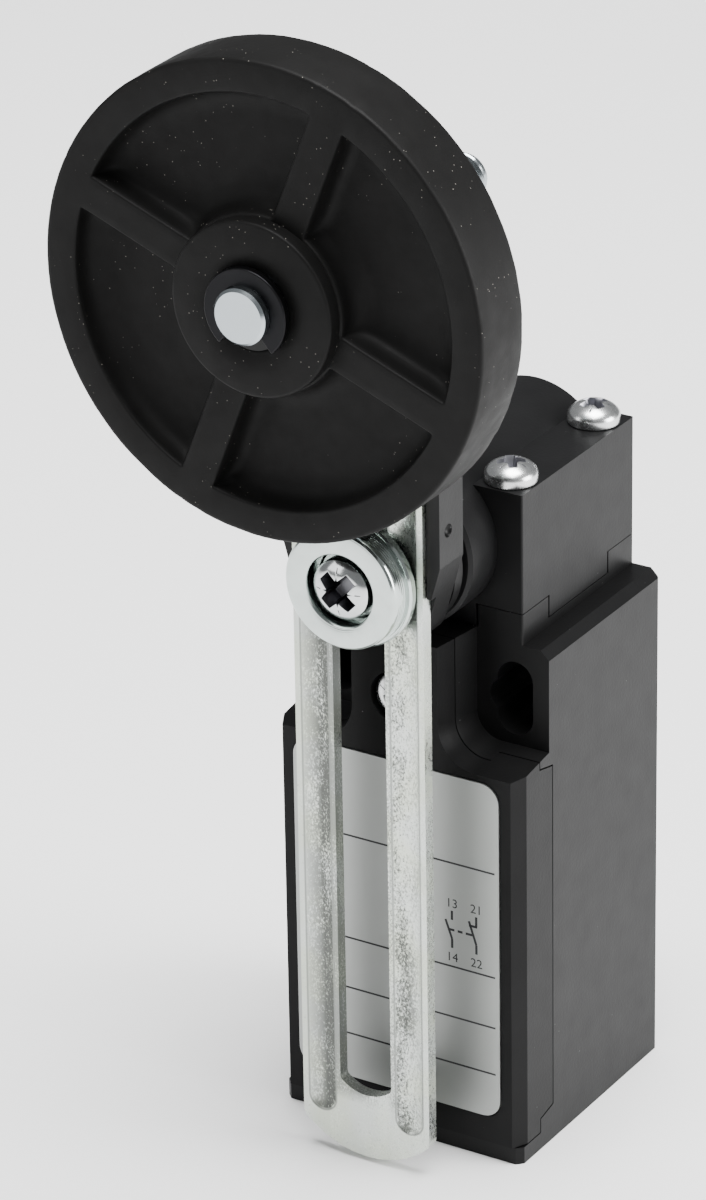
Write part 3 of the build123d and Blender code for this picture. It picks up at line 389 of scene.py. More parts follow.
def carved(name, build, cut, finishes, edge):
    """Cut one mesh out of another; the finishes are those of the outside and of the cut."""
    solid = bpy.data.objects.new(name, mesh_from(name, build))
    cutter = bpy.data.objects.new("cutter", mesh_from("cutter", cut))
    for item, finish in zip((solid, cutter), finishes):
        item.data.materials.append(finish)
        bpy.context.scene.collection.objects.link(item)
    carve = solid.modifiers.new("recess", "BOOLEAN")
    carve.operation = "DIFFERENCE"
    carve.solver = "EXACT"
    carve.material_mode = "TRANSFER"
    carve.object = cutter
    bevel_edges(solid, edge, 40)
    graph = bpy.context.evaluated_depsgraph_get()
    mesh = bpy.data.meshes.new_from_object(solid.evaluated_get(graph))
    least_faces = 50
    if len(mesh.polygons) < least_faces:
        raise RuntimeError(f"{name}: the recess was not cut")
    for item in (solid, cutter):
        bpy.data.objects.remove(item)
    return mesh


def copies(name, mesh, places):
    """One mesh that holds a copy of another at each place."""
    def build(shape):
        for place in places:
            start = len(shape.verts)
            shape.from_mesh(mesh)
            shape.verts.ensure_lookup_table()
            bmesh.ops.transform(shape, matrix=place, verts=shape.verts[start:])
    result = mesh_from(name, build, 35)
    for material in mesh.materials:
        result.materials.append(material)
    return result


def cross_recess(shape, reach, depth, top, turn):
    """Cutter for a cross recess with a small star in its corners and four fine ticks."""
    overshoot, floor_share = 1 * MM, 0.62
    wing, corner, star = reach * 0.3, reach * 0.42, reach * 0.52
    quarter = [(reach, -wing), (reach, wing), (corner, wing * 1.15), (star, star), (wing * 1.15, corner)]
    outline = []
    for i in range(4):
        outline += turned(quarter, turn + i * math.pi / 2)
    prism(shape, outline, top - depth, top + overshoot, floor_share)
    inner, outer, half, tick_depth = reach * 0.78, reach * 1.4, 0.045 * MM, 0.45 * MM
    tick = [(inner, -half), (outer, -half), (outer, half), (inner, half)]
    for i in range(4):
        line = turned(tick, turn + math.pi / 4 + i * math.pi / 2)
        prism(shape, line, top - tick_depth, top + overshoot)


# A pan head from its middle outwards: share of the head's radius, and of the dome's height below the top.
PAN_HEAD = ((0.35, 0.05), (0.6, 0.22), (0.8, 0.5), (0.92, 0.78), (0.985, 1.0), (1.0, 1.25))


def screw_mesh(name, finishes, head, height, shank, length, dome, reach, turn):
    """Pan-head screw with a cross recess; its seat is at zero and its head above."""
    corner, tip, recess_depth = 0.12 * MM, shank * 0.3, height * 0.72

    def build(shape):
        outline = [(0, height)]
        outline += [(head * out, height - dome * down) for out, down in PAN_HEAD]
        outline += [(head, corner), (head - corner, 0), (shank, 0)]
        outline += [(shank, -length + tip), (shank - tip, -length), (0, -length)]
        lathe(shape, outline, 64)

    def cut(shape):
        cross_recess(shape, head * reach, recess_depth, height, turn)
    return carved(name, build, cut, finishes, 0.04 * MM)


def open_clip(shape, grip, relief, outer, low, high):
    """Retaining clip that is open below and grips with three noses."""
    def arc(radius, start, end):
        """Points between two angles, in degrees from straight down."""
        steps = [start + (end - start) * i / 10 for i in range(11)]
        turns = [math.radians(a - 90) for a in steps]
        return [(radius * math.cos(t), radius * math.sin(t)) for t in turns]
    outside = ((outer, 40, 130), (outer, 139, 221), (outer, 230, 320))
    inside = ((grip, 322, 292), (relief, 284, 204), (grip, 196, 164), (relief, 156, 76), (grip, 68, 38))
    outline = [point for stretch in outside + inside for point in arc(*stretch)]
    prism(shape, outline, low, high)


def coil(shape, radius, wire, turns, low, high, sides=8, steps=24):
    """Evenly wound spring, as one capped tube of round section; wire is its wire's radius."""
    rows = []
    for i in range(turns * steps + 1):
        turn = 2 * math.pi * i / steps
        middle = low + wire + (high - low - 2 * wire) * i / (turns * steps)
        ring = []
        for j in range(sides):
            around = 2 * math.pi * j / sides
            out = radius + wire * math.cos(around)
            ring.append((out * math.cos(turn), out * math.sin(turn), middle + wire * math.sin(around)))
        rows.append([shape.verts.new(place) for place in ring])
    bridge_rows(shape, rows)


# Share of a moulded wall's height at a distance in millimetres before its face: a rib's and a ring's.
RIB_FOOT = ((-0.25, 1.0), (-0.1, 0.985), (0.0, 0.93), (0.05, 0.75), (0.12, 0.5), (0.3, 0.27), (0.55, 0.13),
            (0.9, 0.04), (1.4, 0.0))
RING_FOOT = ((-0.25, 1.0), (-0.1, 0.985), (0.0, 0.93), (0.05, 0.78), (0.12, 0.6), (0.35, 0.38), (0.8, 0.2),
             (1.5, 0.06), (2.6, 0.0))
# The foot around the hub starts from a face this far outside the hub's raised edge.
HUB_STEP = 0.25 * MM


def foot_height(foot, distance):
    """Share of a wall's height at a distance in metres before its face."""
    place = distance / MM
    if place <= foot[0][0]:
        return 1.0
    for (d0, h0), (d1, h1) in zip(foot, foot[1:]):
        if place <= d1:
            return h0 + (h1 - h0) * (place - d0) / (d1 - d0)
    return 0.0


def wheel_rings(settings, radius, rear, nose):
    """Rings of the wheel over the front, the tread and the rear: (radius, z, side).

    A side of 1 or -1 marks a ring of the front or the rear web, whose height follows from the walls' feet.
    """
    face = nose - settings.hub_proud
    middle = (rear + face) / 2
    hub, rim = settings.hub_radius, radius - settings.rim_thickness
    bore = settings.bore_radius
    front_chamfer, rear_chamfer, shoulder = 0.15 * MM, 0.3 * MM, 1.5 * MM
    hub_edge = ((0.35, 0.0), (0.12, 0.06), (0.02, 0.2), (0.0, 0.4))
    rim_edge = ((0.5, 0.0), (0.22, 0.04), (0.06, 0.18), (0.0, 0.45))
    feet = [distance * MM for distance, _ in RING_FOOT]
    web = [hub + HUB_STEP + d for d in feet]
    web += [hub + (rim - hub) * part for part in (0.3, 0.45, 0.6, 0.75)]
    web += [rim - d for d in reversed(feet)]
    rings = [(bore, nose - front_chamfer, 0), (bore + front_chamfer, nose, 0), ((bore + hub) / 2, nose, 0)]
    rings += [(hub - a * MM, nose - b * MM, 0) for a, b in hub_edge]
    rings += [(r, 0, 1) for r in web]
    rings += [(radius - shoulder, face, 0)]
    rings += [(radius - a * MM, face - b * MM, 0) for a, b in rim_edge]
    rings += [(radius, middle + shoulder, 0), (radius, middle - shoulder, 0)]
    rings += [(radius - a * MM, rear + b * MM, 0) for a, b in reversed(rim_edge)]
    rings += [(radius - shoulder, rear, 0)]
    rings += [(r, 0, -1) for r in reversed(web)]
    rings += [(hub - 1 * MM, rear, 0), (bore + rear_chamfer, rear, 0), (bore, rear + rear_chamfer, 0)]
    rings += [(bore, middle, 0)]
    return rings, middle, (face - rear) / 2


def wheel_columns(half_rib):
    """Columns around the wheel, and how far from a rib's middle its foot ends.

    A column is (rib, place across it, share of the way to the next rib).
    """
    widths = [half_rib + distance * MM for distance, _ in RIB_FOOT]
    foot_end = widths[-1]
    gaps = 22
    columns = []
    for rib in range(4):
        columns += [(rib, -w, 0.0) for w in reversed(widths)]
        columns += [(rib, w, 0.0) for w in (-half_rib * 0.5, 0.0, half_rib * 0.5)]
        columns += [(rib, w, 0.0) for w in widths]
        columns += [(rib, foot_end, k / gaps) for k in range(1, gaps)]
    return columns, foot_end


def worn(x, y, z):
    """A point of the rim's edge, moved inwards where the rubber is worn."""
    patch, share = 0.9 * MM, 0.0045
    wear = max(0.0, noise.noise(Vector((x, y, z)) / patch))
    return x * (1 - wear * share), y * (1 - wear * share)


def build_wheel(shape, settings, radius, rear, nose):
    """Moulded wheel: ribs, rim and hub rise from the web with soft feet."""
    rings, middle, half = wheel_rings(settings, radius, rear, nose)
    hub, rim = settings.hub_radius, radius - settings.rim_thickness
    half_rib, half_web = settings.rib_width / 2, settings.web_thickness / 2
    columns, foot_end = wheel_columns(half_rib)
    worn_depth, worn_height = 0.3 * MM, 0.6 * MM
    rows = []
    for r, ring_z, side in rings:
        row = []
        reach = max(r, hub)
        for rib, place, share in columns:
            angle = settings.rib_angle + rib * math.pi / 2 + math.asin(place / reach)
            angle += share * (math.pi / 2 - 2 * math.asin(foot_end / reach))
            z = ring_z
            if side:
                sunk = 1 - foot_height(RIB_FOOT, abs(place) - half_rib) if share == 0 else 1.0
                sunk *= 1 - foot_height(RING_FOOT, rim - r)
                sunk *= 1 - foot_height(RING_FOOT, r - hub - HUB_STEP)
                z = middle + side * (half_web + (half - half_web) * (1 - sunk))
            x, y = r * math.cos(angle), r * math.sin(angle)
            if r > radius - worn_depth and abs(z - middle) > half - worn_height:
                x, y = worn(x, y, z)
            row.append(shape.verts.new((x, y, z)))
        rows.append(row)
    join_rows(shape, rows + rows[:1])


def stroke(shape, start, end, width, level, height):
    """Printed line between two (x, z) points, a little above the plate."""
    along = Vector(end) - Vector(start)
    side = Vector((-along.y, along.x)).normalized() * width / 2
    corners = [Vector(start) - side, Vector(end) - side, Vector(end) + side, Vector(start) + side]
    rows = [[shape.verts.new((c.x, y, c.y)) for c in corners] for y in (level, level - height)]
    bridge_rows(shape, rows)


# ---------------------------------------------------------------- settings


def colour_setting(name, description, default):
    """A colour that a user can change."""
    return FloatVectorProperty(name=name, description=description, default=default, size=3,
                               subtype="COLOR", min=0.0, max=1.0)


def length_setting(name, description, default):
    """A length in metres that a user can change."""
    return FloatProperty(name=name, description=description, default=default, min=0.0,
                         subtype="DISTANCE", unit="LENGTH", precision=5)


class BodySettings(bpy.types.PropertyGroup):
    """Finish of the housing, the cover and the head."""
    housing_colour: colour_setting("Housing", "Colour of the housing", (0.0042, 0.0042, 0.0043))
    cover_colour: colour_setting("Cover", "Colour of the front cover", (0.0046, 0.0046, 0.0047))
    head_colour: colour_setting("Head", "Colour of the head", (0.0042, 0.0042, 0.0044))
    edge_radius: length_setting("Edge radius", "Rounding of the moulded edges", 0.25 * MM)


class LeverSettings(bpy.types.PropertyGroup):
    """Finish of the hub, the arm and the clamp."""
    hub_colour: colour_setting("Hub", "Colour of the lever hub", (0.0036, 0.0036, 0.0037))
    zinc_colour: colour_setting("Zinc", "Colour of the plated arm", (0.57, 0.6, 0.57))
    flute_middle: length_setting("Flute", "Distance of a flute's middle from the arm's middle", 5.45 * MM)
    flute_width: length_setting("Flute width", "Width of a flute", 3.4 * MM)
    flute_margin: length_setting("Flute margin", "Distance of a flute's end from the arm's end", 4.3 * MM)
    groove_pitch: length_setting("Turned rings", "Distance between the turned rings", 0.22 * MM)


class WheelSettings(bpy.types.PropertyGroup):
    """Finish of the roller wheel."""
    wheel_colour: colour_setting("Wheel", "Colour of the wheel", (0.0034, 0.0033, 0.0032))
    roughness: FloatProperty(name="Roughness", description="Roughness of the rubber", default=0.55,
                             min=0.0, max=1.0)
    rim_thickness: length_setting("Rim", "Thickness of the rim", 3.5 * MM)
    web_thickness: length_setting("Web", "Thickness of the web", 2.2 * MM)
    rib_width: length_setting("Rib", "Width of a rib", 3.8 * MM)
    rib_angle: FloatProperty(name="Rib angle", description="Turn of the first rib from the right",
                             default=math.radians(68.5), subtype="ANGLE", unit="ROTATION")
    hub_radius: length_setting("Hub", "Radius of the raised hub", 9.25 * MM)
    hub_proud: length_setting("Hub height", "Height of the hub over the rim", 1.75 * MM)
    bore_radius: length_setting("Bore", "Radius of the bore for the sleeve", 4.23 * MM)
    axle_radius: length_setting("Axle", "Radius of the axle", 3.0 * MM)
    thread_pitch: length_setting("Thread pitch", "Pitch of the axle's thread", 1.0 * MM)
    thread_reach: length_setting("Thread reach", "Length of thread past the axle's solid", 1.2 * MM)


class PlateSettings(bpy.types.PropertyGroup):
    """Finish of the name plate."""
    plate_colour: colour_setting("Plate", "Colour of the name plate", (0.36, 0.37, 0.36))
    ink_colour: colour_setting("Ink", "Colour of the printed lines", (0.02, 0.02, 0.022))
    rule_width: length_setting("Rules", "Width of the ruled lines", 0.22 * MM)
    stroke_width: length_setting("Strokes", "Width of the contact diagram's lines", 0.28 * MM)
    digit_size: length_setting("Digits", "Height of the terminal numbers", 1.5 * MM)


class ScrewSettings(bpy.types.PropertyGroup):
    """Finish of the cross-recessed screws."""
    screw_colour: colour_setting("Screws", "Colour of the plated screws", (0.66, 0.67, 0.67))
    clamp_colour: colour_setting("Clamp screw", "Colour of the clamp screw", (0.58, 0.6, 0.6))
    # Painted shade: the cross recesses are coloured dark for the shade inside them.
    recess_shade_colour: colour_setting("Recess", "Colour of the cross recesses", (0.12, 0.12, 0.13))
    clamp_proud: length_setting("Clamp screw height", "Rise of the clamp screw over its solid", 0.7 * MM)
    clamp_turn: FloatProperty(name="Clamp screw turn", description="Turn of the clamp screw's recess",
                              default=math.radians(47), subtype="ANGLE", unit="ROTATION")


class StageSettings(bpy.types.PropertyGroup):
    """Camera, lights and floor."""
    azimuth: FloatProperty(name="Azimuth", description="Camera's turn to the right of the front",
                           default=math.radians(31.95), subtype="ANGLE", unit="ROTATION")
    elevation: FloatProperty(name="Elevation", description="Camera's height above the horizon",
                             default=math.radians(25.35), subtype="ANGLE", unit="ROTATION")
    roll: FloatProperty(name="Roll", description="Camera's roll", default=math.radians(-0.99),
                        subtype="ANGLE", unit="ROTATION")
    distance: length_setting("Distance", "Camera's distance from the point it looks at", 0.628)
    lens: FloatProperty(name="Lens", description="Focal length in millimetres on a 24 mm high sensor",
                        default=119.52, min=1.0)
    floor_colour: colour_setting("Floor", "Colour of the floor", (0.93, 0.93, 0.93))


class SWITCH_OT_stage(bpy.types.Operator):
    """Set up the floor, the soft studio light and the camera"""
    bl_idname = "switch.stage"
    bl_label = "Stage"

    def execute(self, context):
        settings = context.scene.switch_stage
        self.floor(context, settings)
        self.lights(context)
        self.camera(context, settings)
        return {"FINISHED"}

    def floor(self, context, settings):
        """Flat pale floor just under the switch."""
        half, drop = 3.0, 0.02 * MM

        def build(shape):
            corners = [(-half, -half), (half, -half), (half, half), (-half, half)]
            shape.faces.new([shape.verts.new((x, y, -drop)) for x, y in corners])
        n = Nodes("pale_floor")
        colour = tuple(settings.floor_colour)
        n.set(Base_Color=n.mix_colour(n.between(n.noise(0.4, 2), 0.3, 0.7), colour, shaded(colour, 0.985)))
        n.set(Roughness=0.7)
        mesh = mesh_from("floor", build)
        mesh.materials.append(n.material)
        floor = bpy.data.objects.new("floor", mesh)
        context.scene.collection.objects.link(floor)

    def lights(self, context):
        """Soft light from all around, and three square lamps that aim at the switch."""
        world = bpy.data.worlds.new("studio")
        world.use_nodes = True
        background = world.node_tree.nodes["Background"]
        background.inputs["Color"].default_value = (0.97, 0.985, 1.0, 1.0)
        background.inputs["Strength"].default_value = 0.3
        context.scene.world = world
        aim = Vector((0, -0.02, 0.07))
        # Each lamp's name, its place and the length of its side in metres, and its power in watts.
        lamps = [
            ("key", (0.95, 0.2, 0.3), 0.6, 17.5),
            ("fill", (-0.6, -0.8, 0.5), 0.6, 3.0),
            ("top", (0.1, -0.05, 1.1), 0.7, 34.0),
        ]
        for name, place, side, power in lamps:
            light = bpy.data.lights.new(name, "AREA")
            light.shape = "SQUARE"
            light.size = side
            light.energy = power
            lamp = bpy.data.objects.new(name, light)
            lamp.location = place
            lamp.rotation_euler = (Vector(place) - aim).to_track_quat("Z", "Y").to_euler()
            context.scene.collection.objects.link(lamp)

    def camera(self, context, settings):
        """Camera that looks near the switch's middle from the set side, height and distance."""
        azimuth, elevation, roll = settings.azimuth, settings.elevation, settings.roll
        flat = math.cos(elevation)
        back = Vector((math.sin(azimuth) * flat, -math.cos(azimuth) * flat, math.sin(elevation)))
        right = Vector((math.cos(azimuth), math.sin(azimuth), 0))
        up = back.cross(right)
        right_rolled = math.cos(roll) * right + math.sin(roll) * up
        up_rolled = -math.sin(roll) * right + math.cos(roll) * up
        target = Vector((-5.17 * MM, -18 * MM, 62.95 * MM))
        data = bpy.data.cameras.new("camera")
        data.sensor_fit = "VERTICAL"
        data.sensor_height = 24
        data.lens = settings.lens
        data.clip_start = 0.01
        data.clip_end = 20
        camera = bpy.data.objects.new("camera", data)
        place = Matrix((right_rolled, up_rolled, back)).transposed().to_4x4()
        place.translation = target + back * settings.distance
        camera.matrix_world = place
        context.scene.collection.objects.link(camera)
        context.scene.camera = camera


class SWITCH_OT_body(bpy.types.Operator):
    """Finish the housing, the cover and the head"""
    bl_idname = "switch.body"
    bl_label = "Body and head"

    def execute(self, context):
        settings = context.scene.switch_body
        edge = settings.edge_radius
        housing = moulded_plastic("black_housing", tuple(settings.housing_colour), rough=0.4, sheen=0.13)
        cover = moulded_plastic("black_cover", tuple(settings.cover_colour), rough=0.36, sheen=0.08)
        head = moulded_plastic("black_head", tuple(settings.head_colour), rough=0.42, sheen=0.13)
        finish_node("housing", housing, edge)
        finish_node("front_cover", cover, edge)
        finish_node("head", head, edge)
        return {"FINISHED"}


# Places of the plate's open and closed contact, to the right of the middle.
OPEN_X, CLOSED_X = 6.9 * MM, 9.9 * MM


class SWITCH_OT_plate(bpy.types.Operator):
    """Finish the name plate"""
    bl_idname = "switch.plate"
    bl_label = "Name plate"

    def execute(self, context):
        settings = context.scene.switch_plate
        silver = plain_metal("silver_plate", tuple(settings.plate_colour), 0.5, 4 * MM, 0.01)
        finish_node("name_plate", silver)
        ink = moulded_plastic("black_ink", tuple(settings.ink_colour), 0.5, 0.2 * MM, 0.002 * MM)
        low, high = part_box("name_plate")
        self.lines(settings, ink, low, high)
        self.digits(context, settings, ink, low)
        return {"FINISHED"}

    def lines(self, settings, ink, low, high):
        """Ruled lines and a plain diagram of the two contacts."""
        level, height = low[1] + 0.004 * MM, 0.012 * MM
        left, right = low[0] + 0.8 * MM, high[0] - 0.5 * MM
        rule_heights = (35.15, 22.65, 16.5, 10.8)

        def build(shape):
            for z in rule_heights:
                stroke(shape, (left, z * MM), (right, z * MM), settings.rule_width, level, height)
            for start, end in self.diagram():
                stroke(shape, start, end, settings.stroke_width, level, height)
        new_piece("plate_lines", mesh_from("plate_lines", build), ink, "body")

    def diagram(self):
        """Strokes of the contact diagram: foot, blade and top of each contact, and the dashed link."""
        foot, hinge, link, tip, top = 24.9 * MM, 26.0 * MM, 27.1 * MM, 28.2 * MM, 29.4 * MM
        dashes = ((6.6, 7.2), (7.6, 8.2), (8.6, 9.4))
        strokes = [
            ((OPEN_X, foot), (OPEN_X, hinge)),
            ((OPEN_X, hinge), (OPEN_X - 0.8 * MM, tip)),
            ((OPEN_X, tip + 0.1 * MM), (OPEN_X, top)),
            ((CLOSED_X, foot), (CLOSED_X, hinge)),
            ((CLOSED_X, hinge), (CLOSED_X - 0.9 * MM, tip + 0.5 * MM)),
            ((CLOSED_X, top), (CLOSED_X, tip)),
            ((CLOSED_X + 0.1 * MM, tip), (CLOSED_X - 0.9 * MM, tip)),
        ]
        return strokes + [((start * MM, link), (end * MM, link)) for start, end in dashes]

    def digits(self, context, settings, ink, low):
        """Terminal numbers of the two contacts."""
        upper, lower = 29.8 * MM, 23.3 * MM
        numbers = [("13", OPEN_X, upper), ("14", OPEN_X, lower),
                   ("21", CLOSED_X, upper), ("22", CLOSED_X, lower)]
        for text, x, z in numbers:
            curve = bpy.data.curves.new("digits_" + text, "FONT")
            curve.body = text
            curve.size = settings.digit_size
            curve.align_x = "CENTER"
            curve.extrude = 0.006 * MM
            writing = bpy.data.objects.new("digits_" + text, curve)
            context.scene.collection.objects.link(writing)
            writing.matrix_world = facing_front(x, low[1], z)
            curve.materials.append(ink)
            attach(writing, "body")


class SWITCH_OT_lever(bpy.types.Operator):
    """Finish the hub, the arm and the clamp"""
    bl_idname = "switch.lever"
    bl_label = "Lever"

    def execute(self, context):
        settings = context.scene.switch_lever
        zinc = tuple(settings.zinc_colour)
        finish_node("lever_hub", moulded_plastic("black_hub", tuple(settings.hub_colour), 0.38), 0.25 * MM)
        low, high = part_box("lever_arm")
        plated = zinc_arm("zinc_arm", zinc, 0.24, settings.flute_middle, settings.flute_width / 2,
                          low[2] + settings.flute_margin, high[2] - settings.flute_margin)
        finish_node("lever_arm", plated, 0.12 * MM)
        steel = (zinc[0] * 0.9, zinc[1] * 0.94, zinc[2] * 0.95)
        self.washer(turned_metal("turned_washer", steel, 0.13, settings.groove_pitch))
        return {"FINISHED"}

    def washer(self, material):
        """Turned cup washer with fine grooves around its edge."""
        low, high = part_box("clamp_washer")
        front, back, flange = -low[1], -high[1], (high[0] - low[0]) / 2
        seat, step, floor = front - 3.55 * MM, front - 2.35 * MM, front - 2.75 * MM
        band, bore, spigot, cup = flange - 0.55 * MM, 2.15 * MM, 3.0 * MM, 3.95 * MM
        chamfer, small_chamfer = 0.25 * MM, 0.2 * MM
        band_edge = ((0.0, 0.6), (0.08, 0.28), (0.3, 0.06), (0.55, 0.0))
        cup_edge = ((0.35, 0.0), (0.13, 0.1), (0.0, 0.35))
        groove_depth, groove_half, groove_pitch = 0.12 * MM, 0.09 * MM, 0.32 * MM
        outline = [(bore, back), (spigot, back), (spigot, seat), (flange - chamfer, seat),
                   (flange, seat + chamfer), (flange, step - chamfer), (flange - small_chamfer, step)]
        outline += [(band, step)]
        for i in range(4):
            z = step + chamfer + groove_pitch * i
            outline += [(band, z), (band - groove_depth, z + groove_half), (band, z + 2 * groove_half)]
        outline += [(band - a * MM, front - b * MM) for a, b in band_edge]
        outline += [(cup + a * MM, front - b * MM) for a, b in cup_edge]
        outline += [(cup, floor + 0.15 * MM), (cup - 0.15 * MM, floor), (bore, floor)]
        mesh = mesh_from("washer", lambda shape: lathe(shape, outline, 128, closed=True), 28)
        mesh.transform(facing_front(0, 0, middle_height("clamp_washer")))
        piece = new_piece("clamp_washer_turned", mesh, material, "lever_shaft_set")
        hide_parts("clamp_washer")


class SWITCH_OT_wheel(bpy.types.Operator):
    """Finish the wheel and its axle"""
    bl_idname = "switch.wheel"
    bl_label = "Wheel"

    def execute(self, context):
        settings = context.scene.switch_wheel
        centre = facing_front(0, 0, middle_height("wheel"))
        steel = plain_metal("turned_axle", (0.42, 0.46, 0.48), 0.22, 2 * MM)
        self.wheel(settings, centre)
        self.axle(settings, steel, centre)
        for node in ("axle_nuts", "axle_washers"):
            finish_node(node, steel, 0.12 * MM)
        self.clip(centre)
        finish_node("wheel_bush", moulded_plastic("sleeve_plastic", (0.012, 0.012, 0.012), 0.4))
        return {"FINISHED"}

    def wheel(self, settings, centre):
        """Moulded wheel with soft feet to its ribs."""
        low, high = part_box("wheel")
        radius, rear, nose = (high[0] - low[0]) / 2, -high[1], -low[1]
        mesh = mesh_from("wheel_moulded", lambda shape: build_wheel(shape, settings, radius, rear, nose), 50)
        mesh.transform(centre)
        rubber = wheel_rubber("black_rubber", tuple(settings.wheel_colour), settings.roughness)
        piece = new_piece("wheel_moulded", mesh, rubber, "wheel_set")
        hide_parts("wheel")

    def clip(self, centre):
        """Dark open clip in front of the hub."""
        low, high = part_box("wheel_circlip")
        grip, relief, outer = 2.62 * MM, 2.95 * MM, 4.75 * MM
        rear, front = -high[1], -low[1]
        mesh = mesh_from("wheel_clip", lambda shape: open_clip(shape, grip, relief, outer, rear, front), 25)
        mesh.transform(centre)
        dark = plain_metal("blued_ring", (0.014, 0.014, 0.015), 0.4)
        piece = new_piece("wheel_clip_open", mesh, dark, "lever_arm_set")
        soften(piece, 0.12 * MM)
        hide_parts("wheel_circlip")

    def axle(self, settings, steel, centre):
        """Turned axle with its thread behind the collar."""
        low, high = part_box("axle")
        front, back, collar = -low[1], -high[1] - settings.thread_reach, (high[0] - low[0]) / 2
        radius, pitch = settings.axle_radius, settings.thread_pitch
        core = radius - pitch * 0.54
        chamfer, front_chamfer, end_chamfer, gap = 0.2 * MM, 0.3 * MM, 0.25 * MM, 0.05 * MM
        play, groove = 0.2 * MM, 2.6 * MM
        seat = -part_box("wheel")[1][1] - play
        shoulder = -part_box("axle_nuts")[0][1]
        ring_low, ring_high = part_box("wheel_circlip")
        ring_front, ring_rear = -ring_low[1], -ring_high[1]
        outline = [(0, front), (radius - front_chamfer, front), (radius, front - front_chamfer),
                   (radius, ring_front), (groove, ring_front), (groove, ring_rear), (radius, ring_rear),
                   (radius, seat), (collar - chamfer, seat), (collar, seat - chamfer),
                   (collar, shoulder + chamfer), (collar - chamfer, shoulder), (core, shoulder),
                   (core, back + chamfer), (core - end_chamfer, back), (0, back)]

        def build(shape):
            lathe(shape, outline, 72)
            thread_ridge(shape, core - 0.03 * MM, radius - 0.02 * MM, pitch, start=back + gap,
                         end=shoulder - gap)
        mesh = mesh_from("axle_threaded", build, 25)
        mesh.transform(centre)
        piece = new_piece("axle_threaded", mesh, steel, "lever_arm_set")
        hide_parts("axle")


class SWITCH_OT_screws(bpy.types.Operator):
    """Put cross-recessed screws in the head, the cover and the clamp, and the thread in the entry"""
    bl_idname = "switch.screws"
    bl_label = "Screws and entry thread"

    def execute(self, context):
        settings = context.scene.switch_screws
        bright = plain_metal("bright_screw", tuple(settings.screw_colour), 0.27)
        dull = plain_metal("dull_screw", tuple(settings.clamp_colour), 0.16)
        # Painted shade in the cross recesses: the cover and clamp screws get a dark recess, the head screws
        # a paler one.
        recess = plain_metal("recess_painted_shade", tuple(settings.recess_shade_colour), 0.3)
        paler_recess_shade = plain_metal("paler_recess_shade", shaded(settings.recess_shade_colour, 3), 0.36)
        self.head_screws((bright, paler_recess_shade))
        self.front_screw("cover_screw", "body", (bright, recess), head=2.65 * MM, height=1.9 * MM,
                         proud=0.0, shank=1.5 * MM, dome=0.5 * MM, reach=0.6, turn=math.radians(20))
        self.front_screw("clamp_screw", "lever_shaft_set", (dull, recess), head=3.33 * MM, height=2.6 * MM,
                         proud=settings.clamp_proud, shank=2.0 * MM, dome=0.9 * MM, reach=0.8,
                         turn=settings.clamp_turn)
        self.entry_thread()
        return {"FINISHED"}

    def head_screws(self, finishes):
        """Four screws of the head, each with its recess turned another way."""
        low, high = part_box("head_screws")
        head, height = 2.85 * MM, 2.3 * MM
        seat = high[2] - height
        mesh = screw_mesh("head_screw", finishes, head, height, shank=1.5 * MM, length=seat - low[2],
                          dome=1.2 * MM, reach=0.64, turn=0.0)
        corners = ((-1, -1, 15), (1, -1, 38), (1, 1, 62), (-1, 1, 80))
        places = [Matrix.Translation((x * (high[0] - head), y * (high[1] - head), seat))
                  @ Matrix.Rotation(math.radians(turn), 4, "Z") for x, y, turn in corners]
        crossed = copies("head_screws_crossed", mesh, places)
        piece = new_piece("head_screws_crossed", crossed, None, "body")
        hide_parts("head_screws")

    def front_screw(self, node, body, finishes, head, height, proud, shank, dome, reach, turn):
        """Screw that is driven from the front; proud is its rise over the node's solid."""
        low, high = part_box(node)
        seat = low[1] + height
        mesh = screw_mesh(node, finishes, head, height + proud, shank, high[1] - seat, dome, reach, turn)
        place = facing_front(0, seat, middle_height(node))
        piece = new_piece(node + "_crossed", copies(node, mesh, [place]), None, body)
        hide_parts(node)

    def entry_thread(self):
        """Thread inside the cable entry; wall is the radius of the entry's hole."""
        wall, pitch = 9.19 * MM, 1.5 * MM

        def build(shape):
            thread_ridge(shape, wall + 0.15 * MM, wall - 0.28 * MM, pitch, start=0.5 * MM, end=11.6 * MM,
                         steps=64)
        material = moulded_plastic("black_thread", (0.012, 0.0125, 0.0135), 0.45)
        new_piece("entry_thread", mesh_from("entry_thread", build, 25), material, "body")


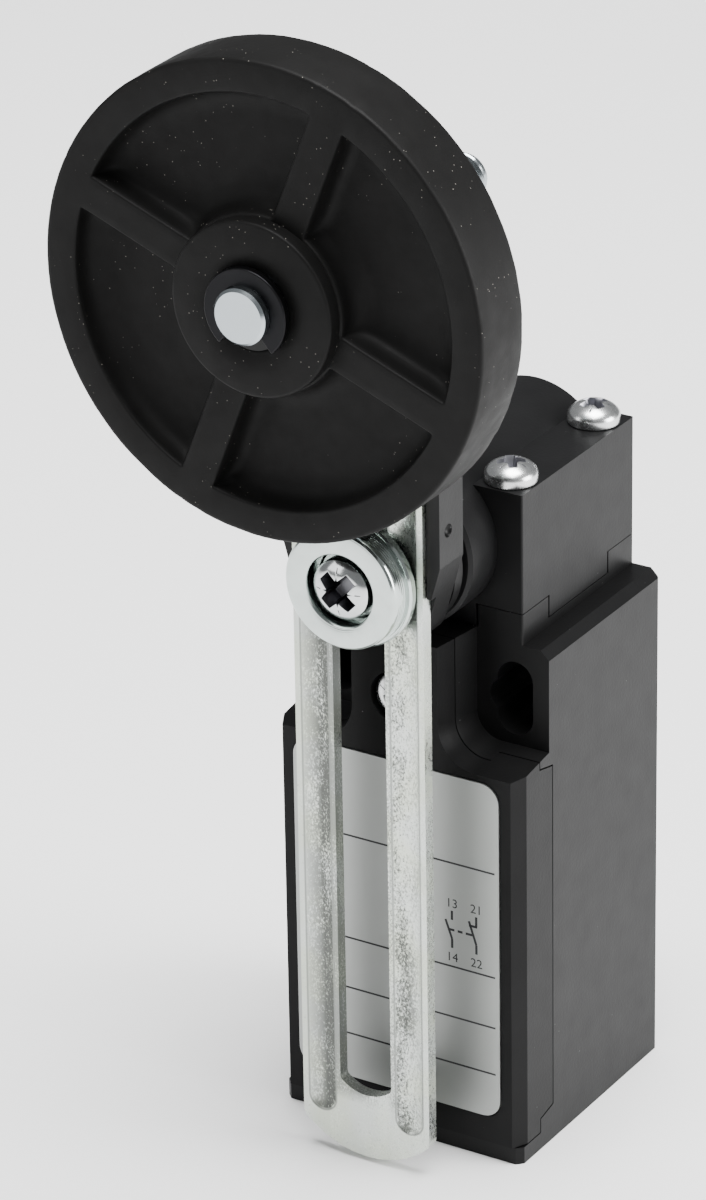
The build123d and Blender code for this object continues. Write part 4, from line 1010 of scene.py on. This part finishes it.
class SWITCH_OT_inside(bpy.types.Operator):
    """Finish the pieces inside"""
    bl_idname = "switch.inside"
    bl_label = "Inside"

    def execute(self, context):
        steel = plain_metal("plated_steel", (0.72, 0.73, 0.74), 0.32)
        spring = plain_metal("spring_wire", (0.5, 0.5, 0.52), 0.28)
        brass = plain_metal("contact_brass", (0.72, 0.55, 0.24), 0.3)
        bronze = plain_metal("sintered_bronze", (0.5, 0.33, 0.17), 0.5)
        rubber = moulded_plastic("seal_rubber", (0.02, 0.02, 0.02), 0.6)
        block = moulded_plastic("block_plastic", (0.09, 0.1, 0.11), 0.5)
        slider = moulded_plastic("slider_plastic", (0.7, 0.69, 0.64), 0.45)
        finishes = {
            steel: ("block_screws", "terminal_plates", "terminal_screws", "lever_shaft"),
            spring: ("contact_springs", "shaft_clip"),
            brass: ("break_terminals", "make_terminals", "break_bridge", "make_bridge"),
            bronze: ("shaft_bush",),
            rubber: ("cover_gasket", "head_seal", "shaft_seal"),
            block: ("contact_base",),
            slider: ("head_plunger", "contact_carrier", "cam"),
        }
        for material, nodes in finishes.items():
            for node in nodes:
                finish_node(node, material)
        self.return_spring(spring)
        return {"FINISHED"}

    def return_spring(self, material):
        """Coil under the head plunger."""
        low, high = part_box("return_spring")
        wire, turns, travel = 0.45 * MM, 6, 2 * MM

        def build(shape):
            coil(shape, high[0] - wire, wire, turns, low[2], high[2])
        mesh = mesh_from("return_coil", build, 60)
        spring = new_piece("return_coil", mesh, material, "body")
        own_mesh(spring)
        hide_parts("return_spring")


OPERATORS = (SWITCH_OT_stage, SWITCH_OT_body, SWITCH_OT_plate, SWITCH_OT_lever, SWITCH_OT_wheel,
             SWITCH_OT_screws, SWITCH_OT_inside)
SETTINGS = {
    "switch_body": BodySettings,
    "switch_lever": LeverSettings,
    "switch_wheel": WheelSettings,
    "switch_plate": PlateSettings,
    "switch_screws": ScrewSettings,
    "switch_stage": StageSettings,
}


class SWITCH_PT_panel(bpy.types.Panel):
    """Lists the switch's pieces and their settings"""
    bl_idname = "SWITCH_PT_panel"
    bl_label = "Limit Switch"
    bl_space_type = "VIEW_3D"
    bl_region_type = "UI"
    bl_category = "Limit Switch"

    def draw(self, context):
        for operator in OPERATORS:
            self.layout.operator(operator.bl_idname)
        for name, group in SETTINGS.items():
            box = self.layout.box()
            box.label(text=group.__doc__)
            for key in group.__annotations__:
                box.prop(getattr(context.scene, name), key)


CLASSES = (*SETTINGS.values(), *OPERATORS, SWITCH_PT_panel)


def register():
    """Register the classes and hang their settings on the scene."""
    for cls in CLASSES:
        bpy.utils.register_class(cls)
    for name, group in SETTINGS.items():
        setattr(bpy.types.Scene, name, PointerProperty(type=group))


def unregister():
    """Take the settings and the classes away again."""
    for name in SETTINGS:
        delattr(bpy.types.Scene, name)
    for cls in reversed(CLASSES):
        bpy.utils.unregister_class(cls)


def main():
    """Build every piece in order."""
    register()
    for operator in OPERATORS:
        getattr(bpy.ops.switch, operator.bl_idname.split(".")[1])()


if __name__ == "__main__":
    main()
